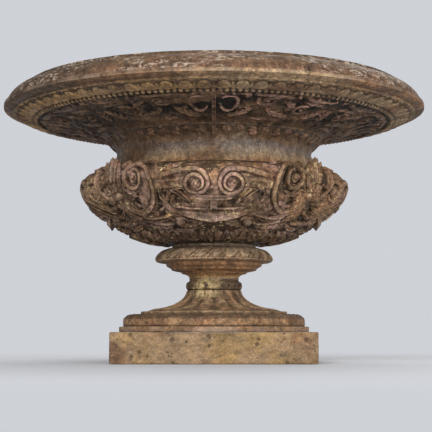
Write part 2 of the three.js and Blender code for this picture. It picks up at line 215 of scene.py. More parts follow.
def carved(mesh, relief):
    """Moves each vertex along its normal by the relief there. The relief, scaled to at most 1, is kept as
    an attribute that the finishes read."""
    places, normals = readings(mesh, "co"), readings(mesh, "normal")
    radius = np.hypot(places[:, 0], places[:, 1])
    angle = np.degrees(np.arctan2(places[:, 0], -places[:, 1]))
    outward = (normals[:, 0] * places[:, 0] + normals[:, 1] * places[:, 1]) / np.maximum(radius, 1e-6)
    off = relief(Spots(places, angle, radius, places[:, 2], outward, normals[:, 2]))
    moved(mesh, off)
    stored = mesh.attributes.new("relief", "FLOAT", "POINT")
    stored.data.foreach_set("value", (off / np.max(np.abs(off))).astype(np.float32))


def finished(name, bm, finish, nodes, relief=None, crust=0.0):
    """Makes the piece's object, carves and pits it, gives it its finish and ties it to the frame."""
    bmesh.ops.recalc_face_normals(bm, faces=bm.faces)
    mesh = bpy.data.meshes.new(name)
    bm.to_mesh(mesh)
    bm.free()
    if relief:
        carved(mesh, relief)
    if crust:
        places = readings(mesh, "co")
        rust = sum(share * lumps(places, size * MM, shift) for share, size, shift in CRUST_SCALES)
        moved(mesh, (rust - CRUST_LEVEL) * crust)
    mesh.shade_smooth()
    mesh.set_sharp_from_angle(angle=CREASE)
    mesh.materials.append(finish(bpy.context.scene.vase_colours))
    piece = bpy.data.objects.new(name, mesh)
    bpy.context.collection.objects.link(piece)
    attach(piece, BODY)
    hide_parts(*nodes)


def turned(outline, segments):
    """A closed outline of (radius, height) points turned about the vase's axis."""
    bm = bmesh.new()
    closed = stacked(outline, outline[0])
    apart = np.hypot(*np.diff(closed, axis=0).T) > 1e-6
    closed = closed[np.concatenate(([True], apart))]
    bmesh.ops.create_grid(bm, x_segments=len(closed) - 1, y_segments=segments, size=1)
    verts = list(bm.verts)
    flat = np.array([vert.co for vert in verts])
    spot = (flat[:, 0] + 1) / 2 * (len(closed) - 1)
    radius, height = (np.interp(spot, np.arange(len(closed)), closed[:, axis]) for axis in (0, 1))
    turn = flat[:, 1] * math.pi
    for vert, place in zip(verts, np.column_stack([radius * np.cos(turn), radius * np.sin(turn), height])):
        vert.co = place
    bmesh.ops.remove_doubles(bm, verts=[vert for vert in verts if vert.is_boundary], dist=1e-6)
    return bm


def ornament():
    """An empty mesh for strokes, which keep how high they stand."""
    bm = bmesh.new()
    bm.verts.layers.float.new("relief")
    return bm


def repeated(bm, count):
    """Copies all of a mesh round the vase's axis."""
    bmesh.ops.spin(bm, geom=bm.verts[:] + bm.edges[:] + bm.faces[:], axis=(0, 0, 1), cent=(0, 0, 0),
                   angle=math.tau * (count - 1) / count, steps=count - 1, use_merge=False, use_duplicate=True)


# Strokes of ornament laid over a section


def settled(bm, verts, places, heights):
    """Puts the vertices of a stroke in place and keeps their heights."""
    layer = bm.verts.layers.float["relief"]
    for vert, place, height in zip(verts, places, heights):
        vert.co = place
        vert[layer] = height


def slab(bm, length_steps, across_steps):
    """A closed sheet from which a stroke is bent: its vertices, and for each its share of the length, its
    side from -1 to 1, and whether it lies on top."""
    grid = bmesh.ops.create_grid(bm, x_segments=length_steps, y_segments=across_steps, size=1)
    faces = list({face for vert in grid["verts"] for face in vert.link_faces})
    made = bmesh.ops.extrude_face_region(bm, geom=faces, use_keep_orig=True)["geom"]
    top = [item for item in made if isinstance(item, bmesh.types.BMVert)]
    bmesh.ops.translate(bm, verts=top, vec=(0, 0, 1))
    verts = grid["verts"] + top
    places = np.array([vert.co for vert in verts])
    return verts, (places[:, 0] + 1) / 2, np.sin(places[:, 1] * math.pi / 2), places[:, 2] > 0.5


def strap_form(share, side):
    """A flat strap with raised borders and a channel between them."""
    return np.ones_like(share), (1 - side**8) * (0.6 + 0.4 * smooth_step(np.abs(side), 0.3, 0.6))


def band_form(share, side):
    """A broad flat band with a thin groove near each edge."""
    grooves = np.exp(-(((np.abs(side) - 0.66) / 0.1) ** 2))
    return np.ones_like(share), (1 - side**14) * (0.94 - 0.1 * side - 0.42 * grooves)


def cord_form(share, side):
    """A plain round rib that tapers at both ends."""
    width = np.sqrt(np.clip(1 - (2 * share - 1) ** 6, 0.02, 1))
    return width, np.sqrt(np.clip(1 - side**2, 0, 1)) * width


def ridges_form(count, pinch=0.75):
    """A strap of parallel ridges that draw together at both ends, by the share that pinch gives."""

    def form(share, side):
        width = 1 - pinch + pinch * np.sin(math.pi * np.clip(share, 0, 1)) ** 0.7
        ridges = np.cos(side * math.pi * count / 2) ** 2
        return width, np.sqrt(np.clip(1 - side**2, 0, 1)) * (0.35 + 0.65 * ridges)

    return form


def leaf_form(lobes, root=0.3):
    """A lobed pointed leaf with a groove for its midrib, from its root to its tip."""

    def form(share, side):
        swell = np.sin(math.pi * np.clip(share, 0, 1) ** 0.75) ** 0.75
        swell = np.maximum(swell, root * smooth_step(share, 0.3, 0.0))
        lobe = (lobes * share) % 1
        edge = np.minimum(lobe / 0.7, (1 - lobe) / 0.3)
        width = swell * (0.62 + 0.38 * edge) + 0.015
        size = np.abs(side)
        crown = np.sqrt(np.clip(1 - side**2, 0, 1)) * (1 - 0.45 * np.exp(-((side / 0.16) ** 2)))
        gullies = 0.4 * (1 - edge) * smooth_step(size, 0.15, 0.6)
        return width, crown * (1 - gullies) * (0.55 + 0.45 * swell)

    return form


def lip_form(share, side):
    """A crescent lip with a sharp lower edge, an upright face and a ledge above it."""
    swell = np.clip(1 - np.abs(2 * share - 1) ** 2, 0, 1) ** 0.85
    under = smooth_step(side, -1.0, -0.72)
    over = (1 - 0.4 * np.clip((side + 0.7) / 1.3, 0, 1)) * smooth_step(side, 0.96, 0.66)
    return 0.08 + 0.92 * swell, under * over * (0.1 + 0.9 * swell)


def stroke(bm, section, route, half_width, height, form, steps=(26, 8), sweep=0.0, taper=1.0, lift=0.0,
           curl=0.0, fade=(0.1, 0.1)):
    """One strap, rib or leaf along a route of (degrees, distance along the section) points. Its ends sink
    over the two shares of its length that fade gives."""
    fine = spline(route, 90)
    radius = section.radius(fine[:, 1])
    stretch = np.column_stack([np.radians(fine[:, 0]) * radius.mean(), fine[:, 1]])
    reach = np.concatenate(([0.0], np.cumsum(np.hypot(*np.diff(stretch, axis=0).T))))
    reach /= reach[-1]
    verts, share, side, top = slab(bm, *steps)
    width, crown = form(share, side)
    at = np.clip(share + sweep * np.abs(side) ** 1.5 * share * (1 - share) * 2, 0, 1)
    ahead, behind = np.clip(at + 0.01, 0, 1), np.clip(at - 0.01, 0, 1)
    middle = [np.interp(at, reach, fine[:, axis]) for axis in (0, 1)]
    around = np.radians(np.interp(ahead, reach, fine[:, 0]) - np.interp(behind, reach, fine[:, 0]))
    around *= section.radius(middle[1])
    along = np.interp(ahead, reach, fine[:, 1]) - np.interp(behind, reach, fine[:, 1])
    size = np.maximum(np.hypot(around, along), 1e-9)
    reach_out = side * half_width * width * (1 + (taper - 1) * share)
    angle = middle[0] + np.degrees(-along / size * reach_out / section.radius(middle[1]))
    distance = middle[1] + around / size * reach_out
    sunk = smooth_step(share, 0, fade[0] + 1e-6) * smooth_step(1 - share, 0, fade[1] + 1e-6)
    shown = np.sqrt(np.clip(crown * (0.25 + 0.75 * sunk), 0, 1.3))
    off = np.where(top, (lift + curl * share**3 + height * crown) * sunk - 1.5 * MM * (1 - sunk), -3 * MM)
    settled(bm, verts, section.lay(angle, distance, off), np.where(top, shown, 0))


def volute_route(section, angle, along, radius, eye, turns, start, hand, stretch=1.0):
    """A route that winds in about a centre, from a start angle in degrees. The hand is 1 or -1."""
    share = np.linspace(0, 1, 30)
    turn = math.radians(start) + share * turns * math.tau
    reach = radius + (eye - radius) * share**0.85
    scale = np.degrees(1 / section.radius(along))
    around = angle + hand * reach * np.cos(turn) * scale
    return np.column_stack([around, along + stretch * reach * np.sin(turn)])


def boss(bm, section, angle, along, radius, height, hand=1, swirl=0.0):
    """A round button, plain or with a swirl carved in it."""
    rings, sides = (20, 36) if swirl else (8, 14)
    verts = bmesh.ops.create_uvsphere(bm, u_segments=sides, v_segments=rings, radius=1)["verts"]
    places = np.array([vert.co for vert in verts])
    reach = np.hypot(places[:, 0], places[:, 1])
    turn = np.arctan2(places[:, 1], hand * places[:, 0])
    carving = 1 - swirl * (0.5 - 0.5 * np.cos(turn + reach * 11)) * smooth_step(reach, 0.1, 0.4)
    tall = np.clip(places[:, 2], -0.3, 1) * carving
    around = np.degrees(places[:, 0] * radius / section.radius(along))
    laid = section.lay(angle + around, along + places[:, 1] * radius, tall * height)
    settled(bm, verts, laid, np.clip(tall, 0, 1))


# Finishes


class Patina:
    """A weathered iron finish, with some painted shade and light, built up layer over layer on Object
    coordinates.
    """

    def __init__(self, name):
        self.material = bpy.data.materials.new(name)
        self.material.use_nodes = True
        self.tree = self.material.node_tree
        self.shader = self.tree.nodes["Principled BSDF"]
        self.shader.inputs["Specular IOR Level"].default_value = 0.3
        self.place = self.node("ShaderNodeTexCoord").outputs["Object"]
        self.colour = None
        self.heights = None

    def node(self, kind, **settings):
        made = self.tree.nodes.new(kind)
        for key, value in settings.items():
            setattr(made, key, value)
        return made

    def feed(self, socket, value):
        if isinstance(value, bpy.types.NodeSocket):
            self.tree.links.new(value, socket)
        else:
            socket.default_value = value

    def maths(self, operation, first, second, third=0.0):
        made = self.node("ShaderNodeMath", operation=operation)
        for socket, value in zip(made.inputs, (first, second, third)):
            self.feed(socket, value)
        return made.outputs[0]

    def mapped(self, stretch, shift):
        made = self.node("ShaderNodeMapping")
        self.feed(made.inputs["Vector"], self.place)
        made.inputs["Location"].default_value = (shift, shift * 0.7, shift * 1.3)
        made.inputs["Scale"].default_value = stretch
        return made.outputs[0]

    def noise(self, grain, detail=4, stretch=(1, 1, 1), shift=0.0):
        """Cloudy noise whose patches are about as wide as the grain, in metres."""
        made = self.node("ShaderNodeTexNoise")
        self.feed(made.inputs["Vector"], self.mapped(stretch, shift))
        made.inputs["Scale"].default_value = 0.6 / grain
        made.inputs["Detail"].default_value = detail
        made.inputs["Roughness"].default_value = 0.6
        return made.outputs[0]

    def spread(self, value, low, high, to_low=0.0, to_high=1.0):
        made = self.node("ShaderNodeMapRange", interpolation_type="SMOOTHSTEP")
        for name, given in (("Value", value), ("From Min", low), ("From Max", high), ("To Min", to_low),
                            ("To Max", to_high)):
            self.feed(made.inputs[name], given)
        return made.outputs[0]

    def patches(self, grain, low, high, **settings):
        return self.spread(self.noise(grain, **settings), low, high)

    def along(self, axis):
        """The place along one axis, in metres."""
        parts = self.node("ShaderNodeSeparateXYZ")
        self.feed(parts.inputs[0], self.place)
        return parts.outputs[axis]

    def base(self, colour):
        self.colour = (*colour, 1)

    def cover(self, mask, colour, strength=None):
        """Paints a colour over what is there, where the mask is high, by a share or a second mask."""
        if strength is not None:
            mask = self.maths("MULTIPLY", mask, strength)
        made = self.node("ShaderNodeMix", data_type="RGBA")
        self.feed(made.inputs[0], mask)
        self.feed(made.inputs[6], self.colour)
        self.feed(made.inputs[7], (*colour, 1))
        self.colour = made.outputs[2]

    def mottled(self, grain, darkest, lightest, stretch=(1, 1, 1), shift=0.0):
        """Darkens and lightens what is there in patches."""
        clouds = self.noise(grain, detail=2, stretch=stretch, shift=shift)
        tone = self.spread(clouds, 0.3, 0.7, darkest, lightest)
        made = self.node("ShaderNodeVectorMath", operation="SCALE")
        self.feed(made.inputs[0], self.colour)
        self.feed(made.inputs["Scale"], tone)
        self.colour = made.outputs[0]

    def by_height(self, stops, wobble=0.002, grain=0.02):
        """Colours by height in metres, with a ragged edge between them."""
        ragged = self.maths("MULTIPLY_ADD", self.noise(grain), wobble, -wobble / 2)
        height = self.maths("ADD", self.along("Z"), ragged)
        low, high = stops[0][0], stops[-1][0]
        ramp = self.node("ShaderNodeValToRGB")
        share = self.node("ShaderNodeMapRange")
        self.feed(share.inputs["Value"], height)
        share.inputs["From Min"].default_value = low
        share.inputs["From Max"].default_value = high
        self.feed(ramp.inputs[0], share.outputs[0])
        elements = ramp.color_ramp.elements
        while len(elements) < len(stops):
            elements.new(0.5)
        for element, (place, colour) in zip(elements, stops):
            element.position = (place - low) / (high - low)
            element.color = (*colour, 1)
        self.colour = ramp.outputs[0]

    def above(self, height, blur, strength=1.0):
        """A mask that is high above a height in metres."""
        return self.spread(self.along("Z"), height - blur, height + blur, to_high=strength)

    def below(self, height, blur):
        """A mask that is high below a height in metres."""
        return self.maths("SUBTRACT", 1.0, self.above(height, blur))

    def near(self, centre, reach, grain=0.02):
        """A ragged stain round a place."""
        far = self.node("ShaderNodeVectorMath", operation="DISTANCE")
        self.feed(far.inputs[0], self.place)
        far.inputs[1].default_value = centre
        ragged = self.maths("MULTIPLY_ADD", self.noise(grain, shift=2.7), reach, far.outputs["Value"])
        return self.spread(ragged, reach * 1.5, reach * 0.9)

    def relief(self, low, high):
        """A mask that is high on the high parts of the ornament."""
        stored = self.node("ShaderNodeAttribute", attribute_name="relief")
        return self.spread(stored.outputs["Fac"], low, high)

    def pocks(self, spacing, size, share, shift=0.0):
        """Round pocks, in a share of evenly scattered places."""
        made = self.node("ShaderNodeTexVoronoi")
        self.feed(made.inputs["Vector"], self.mapped((1, 1, 1), shift))
        made.inputs["Scale"].default_value = 1 / spacing
        parts = self.node("ShaderNodeSeparateColor")
        self.feed(parts.inputs[0], made.outputs["Color"])
        chosen = self.spread(parts.outputs[0], share, share - 0.01)
        ragged = self.maths("MULTIPLY_ADD", self.noise(size), 0.5 * size / spacing, made.outputs["Distance"])
        wide = self.maths("MULTIPLY", parts.outputs[1], 1.1 * size / spacing)
        outer, inner = 0.35 * size / spacing, 0.1 * size / spacing
        round_ones = self.spread(self.maths("SUBTRACT", ragged, wide), outer, inner)
        return self.maths("MULTIPLY", chosen, round_ones)

    def hollows(self, colour, reach=0.012, low=0.35, high=0.85, strength=0.9):
        """Dirt and painted shade in the hollows: darkens where ambient occlusion finds the surface closed in.
        """
        shade = self.node("ShaderNodeAmbientOcclusion", samples=6)
        shade.inputs["Distance"].default_value = reach
        dark = self.spread(shade.outputs["AO"], high, low)
        self.cover(dark, colour, strength)

    def crests(self, colour, low=0.52, high=0.6, grain=0.03, strength=1.0):
        """Wear on the sharp edges, broken up by noise."""
        edges = self.spread(self.node("ShaderNodeNewGeometry").outputs["Pointiness"], low, high)
        worn = self.maths("MULTIPLY", edges, self.patches(grain, 0.38, 0.62, shift=3.1))
        self.cover(worn, colour, strength)

    def rough(self, low, high, grain=0.01):
        value = self.spread(self.noise(grain, shift=7.7), 0.3, 0.7, low, high)
        self.feed(self.shader.inputs["Roughness"], value)

    def pitted(self, grain, depth, shift=0.0):
        """Adds one scale of rust and pitting to the surface. Depth is in metres."""
        scaled = self.maths("MULTIPLY", self.noise(grain, detail=3, shift=shift), depth)
        self.sunk(scaled)

    def sunk(self, heights):
        self.heights = heights if self.heights is None else self.maths("ADD", self.heights, heights)

    def finish(self):
        self.feed(self.shader.inputs["Base Color"], self.colour)
        bump = self.node("ShaderNodeBump")
        bump.inputs["Distance"].default_value = 1.0
        self.feed(bump.inputs["Height"], self.heights)
        self.feed(self.shader.inputs["Normal"], bump.outputs[0])
        return self.material


def kept(paint_on):
    """Makes a finish the first time it is asked for, and hands the same one out afterwards."""

    def find(colours):
        name = f"weathered_{paint_on.__name__}"
        found = bpy.data.materials.get(name)
        if found:
            return found
        patina = Patina(name)
        paint_on(patina, colours)
        return patina.finish()

    return find


@kept
def plinth_iron(patina, colours):
    """Tan and ochre with dark pocks and rust spots."""
    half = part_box("plinth")[1][0]
    patina.base(colours.tan)
    patina.cover(patina.patches(0.06, 0.42, 0.62), colours.ochre)
    patina.cover(patina.patches(0.03, 0.5, 0.66, shift=2.3), colours.olive)
    patina.cover(patina.patches(0.024, 0.54, 0.68, shift=5.1), colours.orange)
    patina.cover(patina.near((-half * 0.95, -half, 0.02), 0.03), colours.umber)
    right = patina.near((half * 0.95, -half, 0.025), 0.05)
    patina.cover(right, colours.umber, 0.35)
    patina.mottled(0.035, 0.66, 0.93, shift=1.1)
    patina.mottled(0.006, 0.72, 1.15, stretch=(0.6, 0.6, 1.3), shift=6.0)
    patina.mottled(0.002, 0.78, 1.18, shift=3.0)
    patina.cover(patina.patches(0.004, 0.62, 0.72, shift=9.2), colours.pale)
    pocks = patina.pocks(0.013, 0.0042, 0.55)
    patina.cover(pocks, colours.brown, 0.75)
    small = patina.pocks(0.006, 0.0022, 0.5, shift=0.5)
    small = patina.maths("MULTIPLY", small, patina.patches(0.05, 0.48, 0.56, shift=8.1))
    patina.cover(small, colours.brown, 0.75)
    patina.crests(colours.orange, low=0.53, high=0.62, strength=0.6)
    patina.rough(0.6, 0.9)
    patina.sunk(patina.maths("MULTIPLY", pocks, -0.0008))
    patina.pitted(0.012, 0.0010)
    patina.pitted(0.004, 0.0010, shift=4.0)
    patina.pitted(0.0015, 0.0005)


@kept
def foot_iron(patina, colours):
    """Brown and ochre with pale ridges, and a yellow stain at the neck of the stem."""
    low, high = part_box("foot")
    patina.base(colours.umber)
    patina.cover(patina.patches(0.05, 0.42, 0.6), colours.orange)
    patina.cover(patina.patches(0.03, 0.5, 0.66, shift=2.9), colours.tan)
    patina.cover(patina.patches(0.02, 0.55, 0.68, shift=4.9), colours.olive)
    patina.cover(patina.patches(0.03, 0.42, 0.62, shift=7.4), colours.tan)
    spread_low = patina.below(low[2] + 0.045, 0.02)
    patina.cover(spread_low, colours.orange, 0.5)
    patina.cover(patina.patches(0.02, 0.56, 0.7, shift=11.3), colours.rust)
    groove = patina.maths("MULTIPLY", patina.relief(0.55, 0.15), patina.above(low[2] + 0.025, 0.002))
    patina.cover(groove, colours.brown, 0.68)
    patina.cover(patina.relief(0.45, 0.9), colours.tan, 0.6)
    dots = patina.maths("MULTIPLY", patina.relief(-0.2, -0.4), patina.above(high[2] - 0.028, 0.002))
    patina.cover(dots, colours.brown)
    # Painted light: the step's upright face is painted lighter, as if lit, to mark its edge
    above_step, under_edge = patina.above(low[2] + 0.0362, 0.0004), patina.above(low[2] + 0.0405, 0.0006)
    patina.cover(patina.maths("SUBTRACT", above_step, under_edge), colours.tan)
    stain = patina.near((-0.018, -0.055, high[2] - 0.009), 0.04, grain=0.01)
    patina.cover(stain, colours.cream, patina.patches(0.008, 0.32, 0.54, shift=2.2))
    patina.mottled(0.02, 0.64, 1.0, shift=1.1)
    patina.mottled(0.006, 0.58, 1.3, shift=6.0)
    patina.mottled(0.002, 0.65, 1.3, shift=3.0)
    patina.hollows(colours.soot_and_shade, reach=0.008, strength=0.8)
    patina.crests(colours.pale, strength=0.6)
    patina.rough(0.6, 0.9)
    patina.pitted(0.009, 0.0011)
    patina.pitted(0.003, 0.0009)


@kept
def collar_iron(patina, colours):
    """Grey olive above and orange brown below."""
    low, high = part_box("collar")
    middle = (low[2] + high[2]) / 2
    patina.by_height([
        (low[2], colours.ochre), (low[2] + 0.012, colours.orange), (middle - 0.004, colours.orange),
        (middle + 0.006, colours.tan), (high[2], colours.grey)], wobble=0.014)
    patina.cover(patina.patches(0.03, 0.48, 0.62, shift=2.2), colours.umber)
    patina.cover(patina.patches(0.012, 0.6, 0.7, shift=5.2), colours.orange)
    sunk = patina.maths("MULTIPLY", patina.relief(-0.45, -1.0), patina.above(middle - 0.006, 0.004))
    patina.cover(sunk, colours.brown, 0.7)
    worn = patina.maths("MULTIPLY", patina.relief(-0.5, 0.0), patina.above(middle, 0.004))
    patina.cover(worn, colours.grey, 0.7)
    patina.mottled(0.02, 0.82, 1.2, shift=1.1)
    patina.mottled(0.005, 0.6, 1.3, shift=6.0)
    patina.mottled(0.002, 0.65, 1.3, shift=3.0)
    patina.hollows(colours.soot_and_shade, reach=0.008, strength=0.85)
    patina.crests(colours.pale, strength=0.6)
    patina.rough(0.6, 0.9)
    patina.pitted(0.009, 0.0011)
    patina.pitted(0.003, 0.0009)


@kept
def bowl_iron(patina, colours):
    """Dark in the ground, with worn mauve ornament in front, golden on one side and olive on the other."""
    low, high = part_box("bowl")
    widest, middle = high[0], (low[2] + high[2]) / 2
    patina.base(colours.umber)
    patina.cover(patina.patches(0.035, 0.47, 0.6, shift=6.1), colours.mauve)
    patina.cover(patina.patches(0.03, 0.5, 0.64, shift=2.4), colours.rust)
    right = patina.near((0.75 * widest, -0.55 * widest, middle + 0.01), 0.1)
    patina.cover(right, colours.orange, 0.8)
    left = patina.near((-0.85 * widest, -0.4 * widest, middle + 0.02), 0.06)
    patina.cover(left, colours.ochre, 0.5)
    patina.cover(patina.near((0, -widest, middle + 0.03), 0.06), colours.mauve)
    lips = patina.near((0, -0.82 * widest, low[2] + 0.042), 0.065)
    lips = patina.maths("MULTIPLY", lips, patina.relief(0.6, 1.0))
    patina.cover(patina.near((0, -widest * 0.9, middle + 0.055), 0.05), colours.orange)
    patina.cover(patina.patches(0.014, 0.6, 0.7, shift=8.8), colours.ochre)
    patina.cover(patina.relief(0.45, 0.1), colours.brown, 0.85)
    # Painted shade: the underside near the seat is painted darker
    under = patina.below(low[2] + 0.018, 0.014)
    patina.cover(under, colours.brown, 0.6)
    shaded = patina.near((-0.8 * widest, -0.5 * widest, middle), 0.12)
    patina.cover(shaded, colours.umber, 0.5)
    front = patina.near((0, -widest, middle + 0.015), 0.075, grain=0.012)
    patina.cover(front, colours.mauve, patina.relief(0.5, 1.0))
    patina.cover(lips, colours.mauve)
    patina.cover(lips, colours.pale, 0.35)
    worn = patina.maths("MULTIPLY", patina.relief(0.8, 1.1), patina.patches(0.02, 0.4, 0.6, shift=4.3))
    patina.cover(worn, colours.tan)
    golden = patina.patches(0.05, 0.38, 0.52)
    flecks = patina.maths("MULTIPLY", patina.patches(0.0045, 0.58, 0.66, shift=0.7), golden)
    patina.cover(flecks, colours.cream)
    patina.mottled(0.03, 0.65, 1.15, shift=1.1)
    patina.mottled(0.006, 0.6, 1.32, shift=6.0)
    patina.mottled(0.0022, 0.6, 1.35, shift=3.0)
    patina.crests(colours.pale, low=0.515, high=0.6, grain=0.012, strength=0.5)
    patina.hollows(colours.soot_and_shade, reach=0.016, low=0.22, high=0.7, strength=0.8)
    patina.rough(0.45, 0.85)
    patina.pitted(0.008, 0.0018)
    patina.pitted(0.0025, 0.0012)


@kept
def neck_iron(patina, colours):
    """Dark bluish brown under the rim and olive ochre at the foot of the neck."""
    low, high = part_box("neck")
    # Darker towards the top under the rim: painted shade that meets the dark soffit
    patina.by_height([(low[2], colours.orange), (low[2] + 0.01, colours.tan), (low[2] + 0.022, colours.grey),
                      (low[2] + 0.034, colours.slate), (low[2] + 0.044, colours.umber),
                      (high[2] - 0.012, colours.brown)],
                     wobble=0.022, grain=0.03)
    lower_neck = patina.below(low[2] + 0.04, 0.012)
    patina.cover(patina.patches(0.05, 0.45, 0.62, shift=1.9), colours.umber, lower_neck)
    patina.cover(patina.patches(0.02, 0.58, 0.68, shift=3.9), colours.orange, lower_neck)
    gleam = patina.near((0.045, -0.2, low[2] + 0.034), 0.05, grain=0.012)
    gleam = patina.maths("MULTIPLY", gleam, patina.patches(0.006, 0.35, 0.65, shift=2.0))
    patina.cover(gleam, colours.grey, 0.6)
    patina.mottled(0.03, 0.8, 1.12, shift=1.1)
    patina.mottled(0.006, 0.65, 1.28, stretch=(1, 1, 0.85), shift=6.0)
    patina.mottled(0.002, 0.65, 1.3, shift=3.0)
    patina.cover(patina.patches(0.003, 0.64, 0.72, shift=1.2), colours.pale)
    patina.hollows(colours.soot_and_shade, reach=0.04, low=0.2, high=0.7, strength=0.6)
    patina.rough(0.35, 0.75)
    patina.pitted(0.012, 0.0012)
    patina.pitted(0.003, 0.0008)


@kept
def shaded_soffit_iron(patina, colours):
    """Iron under the rim, painted near-black as shade, with brown high spots."""
    patina.base(colours.brown)
    patina.cover(patina.patches(0.05, 0.52, 0.72), colours.soot_and_shade)
    patina.cover(patina.relief(0.5, 0.9), colours.umber)
    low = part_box("rim")[0]
    lit = patina.near((0.12, -0.26, low[2] + 0.03), 0.2)
    patina.cover(lit, colours.rust, patina.relief(0.3, 0.8))
    patina.cover(lit, colours.mauve, patina.relief(0.65, 1.0))
    by_neck = patina.below(low[2] + 0.012, 0.009)
    patina.cover(by_neck, colours.umber, patina.patches(0.02, 0.4, 0.56, shift=3.6))
    dark = patina.near((-0.32, -0.1, low[2] + 0.03), 0.16)
    patina.cover(dark, colours.soot_and_shade, patina.relief(0.85, 0.45))
    patina.cover(patina.patches(0.012, 0.62, 0.72, shift=4.2), colours.orange)
    patina.mottled(0.02, 0.6, 1.25, shift=1.1)
    patina.mottled(0.006, 0.55, 1.4, shift=6.0)
    patina.mottled(0.002, 0.65, 1.3, shift=3.0)
    patina.crests(colours.mauve, low=0.52, high=0.6, strength=0.4)
    patina.hollows(colours.soot_and_shade, reach=0.02, strength=0.95)
    patina.rough(0.4, 0.8)
    patina.pitted(0.008, 0.0012)
    patina.pitted(0.0025, 0.0009)


@kept
def leaf_band_iron(patina, colours):
    """Ochre towards the left and grey olive towards the right, dark in the hollows."""
    patina.base(colours.ochre)
    ragged = patina.maths("ADD", patina.along("X"), patina.noise(0.12))
    patina.cover(0.35, colours.orange)
    patina.cover(patina.spread(ragged, 0.3, 0.55), colours.grey, 0.6)
    patina.cover(patina.patches(0.05, 0.44, 0.62, shift=3.3), colours.umber)
    patina.cover(patina.patches(0.03, 0.5, 0.66, shift=5.3), colours.tan)
    patina.cover(patina.relief(-0.05, -0.3), colours.soot_and_shade, 0.95)
    patina.mottled(0.04, 0.75, 1.1, shift=1.1)
    patina.mottled(0.005, 0.6, 1.3, shift=6.0)
    patina.mottled(0.002, 0.7, 1.25, shift=3.0)
    patina.hollows(colours.soot_and_shade, reach=0.01, low=0.4, high=0.9, strength=0.95)
    patina.crests(colours.tan, strength=0.7)
    patina.rough(0.6, 0.9)
    patina.pitted(0.006, 0.0010)
    patina.pitted(0.0025, 0.0007)


@kept
def rim_iron(patina, colours):
    """Soffit, smooth band, ledge and top moulding of the rim, told apart by height."""
    low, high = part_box("rim")
    top = high[2]
    ledge = top - 0.039
    # The near-black band over the soffit is painted shade under the rim
    patina.by_height([
        (low[2] + 0.004, colours.umber), (low[2] + 0.012, colours.brown), (low[2] + 0.02, colours.soot_and_shade),
        (top - 0.068, colours.soot_and_shade), (top - 0.062, colours.brown), (top - 0.0555, colours.umber),
        (top - 0.0545, colours.ochre), (top - 0.053, colours.orange), (top - 0.0515, colours.umber),
        (top - 0.049, colours.orange), (top - 0.046, colours.orange), (ledge - 0.001, colours.umber),
        (ledge + 0.001, colours.rust), (top - 0.022, colours.umber), (top - 0.009, colours.umber),
        (top - 0.006, colours.umber), (top, colours.brown)], wobble=0.0015)
    patina.cover(patina.patches(0.05, 0.46, 0.62, shift=2.6), colours.umber)
    patina.cover(patina.patches(0.03, 0.6, 0.7, shift=7.6), colours.brown)
    front = patina.near((0.1, -0.41, top - 0.05), 0.2, grain=0.05)
    front = patina.maths("MULTIPLY", front, patina.below(ledge - 0.001, 0.001))
    patina.cover(front, colours.tan, patina.above(top - 0.056, 0.001))
    patina.mottled(0.03, 0.68, 1.03, shift=1.1)
    patina.cover(patina.near((-0.37, -0.22, top - 0.03), 0.27), colours.brown, 0.8)
    patina.cover(patina.above(ledge + 0.004, 0.004, 0.25), colours.brown)
    patina.mottled(0.007, 0.55, 1.25, stretch=(1, 1, 0.6), shift=6.0)
    patina.mottled(0.0022, 0.6, 1.3, shift=3.0)
    clusters = patina.patches(0.05, 0.43, 0.55, stretch=(0.7, 0.7, 1.6), shift=6.2)
    broken = patina.patches(0.009, 0.44, 0.56, detail=5, stretch=(0.6, 0.9, 1.8), shift=1.7)
    chips = patina.patches(0.003, 0.45, 0.56, detail=6, stretch=(0.6, 0.9, 1.5), shift=0.4)
    chipped = patina.maths("MULTIPLY", patina.maths("MULTIPLY", clusters, broken), chips)
    patina.cover(chipped, colours.pale, patina.above(ledge, 0.001, 0.85))
    patina.crests(colours.pale, low=0.52, high=0.6, grain=0.02, strength=0.7)
    patina.rough(0.55, 0.9)
    patina.sunk(patina.maths("MULTIPLY", chipped, 0.0006))
    patina.pitted(0.01, 0.0010)
    patina.pitted(0.003, 0.0008)


@kept
def fastener_rust(patina, colours):
    """Flaking rust on the rod, nuts and bolts."""
    patina.base(colours.brown)
    patina.cover(patina.patches(0.006, 0.45, 0.6), colours.rust)
    patina.cover(patina.patches(0.0015, 0.55, 0.7, shift=1.0), colours.soot_and_shade)
    patina.rough(0.6, 0.9, grain=0.002)
    patina.shader.inputs["Metallic"].default_value = 0.25
    patina.pitted(0.001, 0.0003)


# Settings


def length(name, default, description):
    return FloatProperty(name=name, default=default, description=description, unit="LENGTH", precision=4)


def paint(name, default, description):
    return FloatVectorProperty(name=name, default=default, description=description, subtype="COLOR", size=3,
                               min=0, max=1)


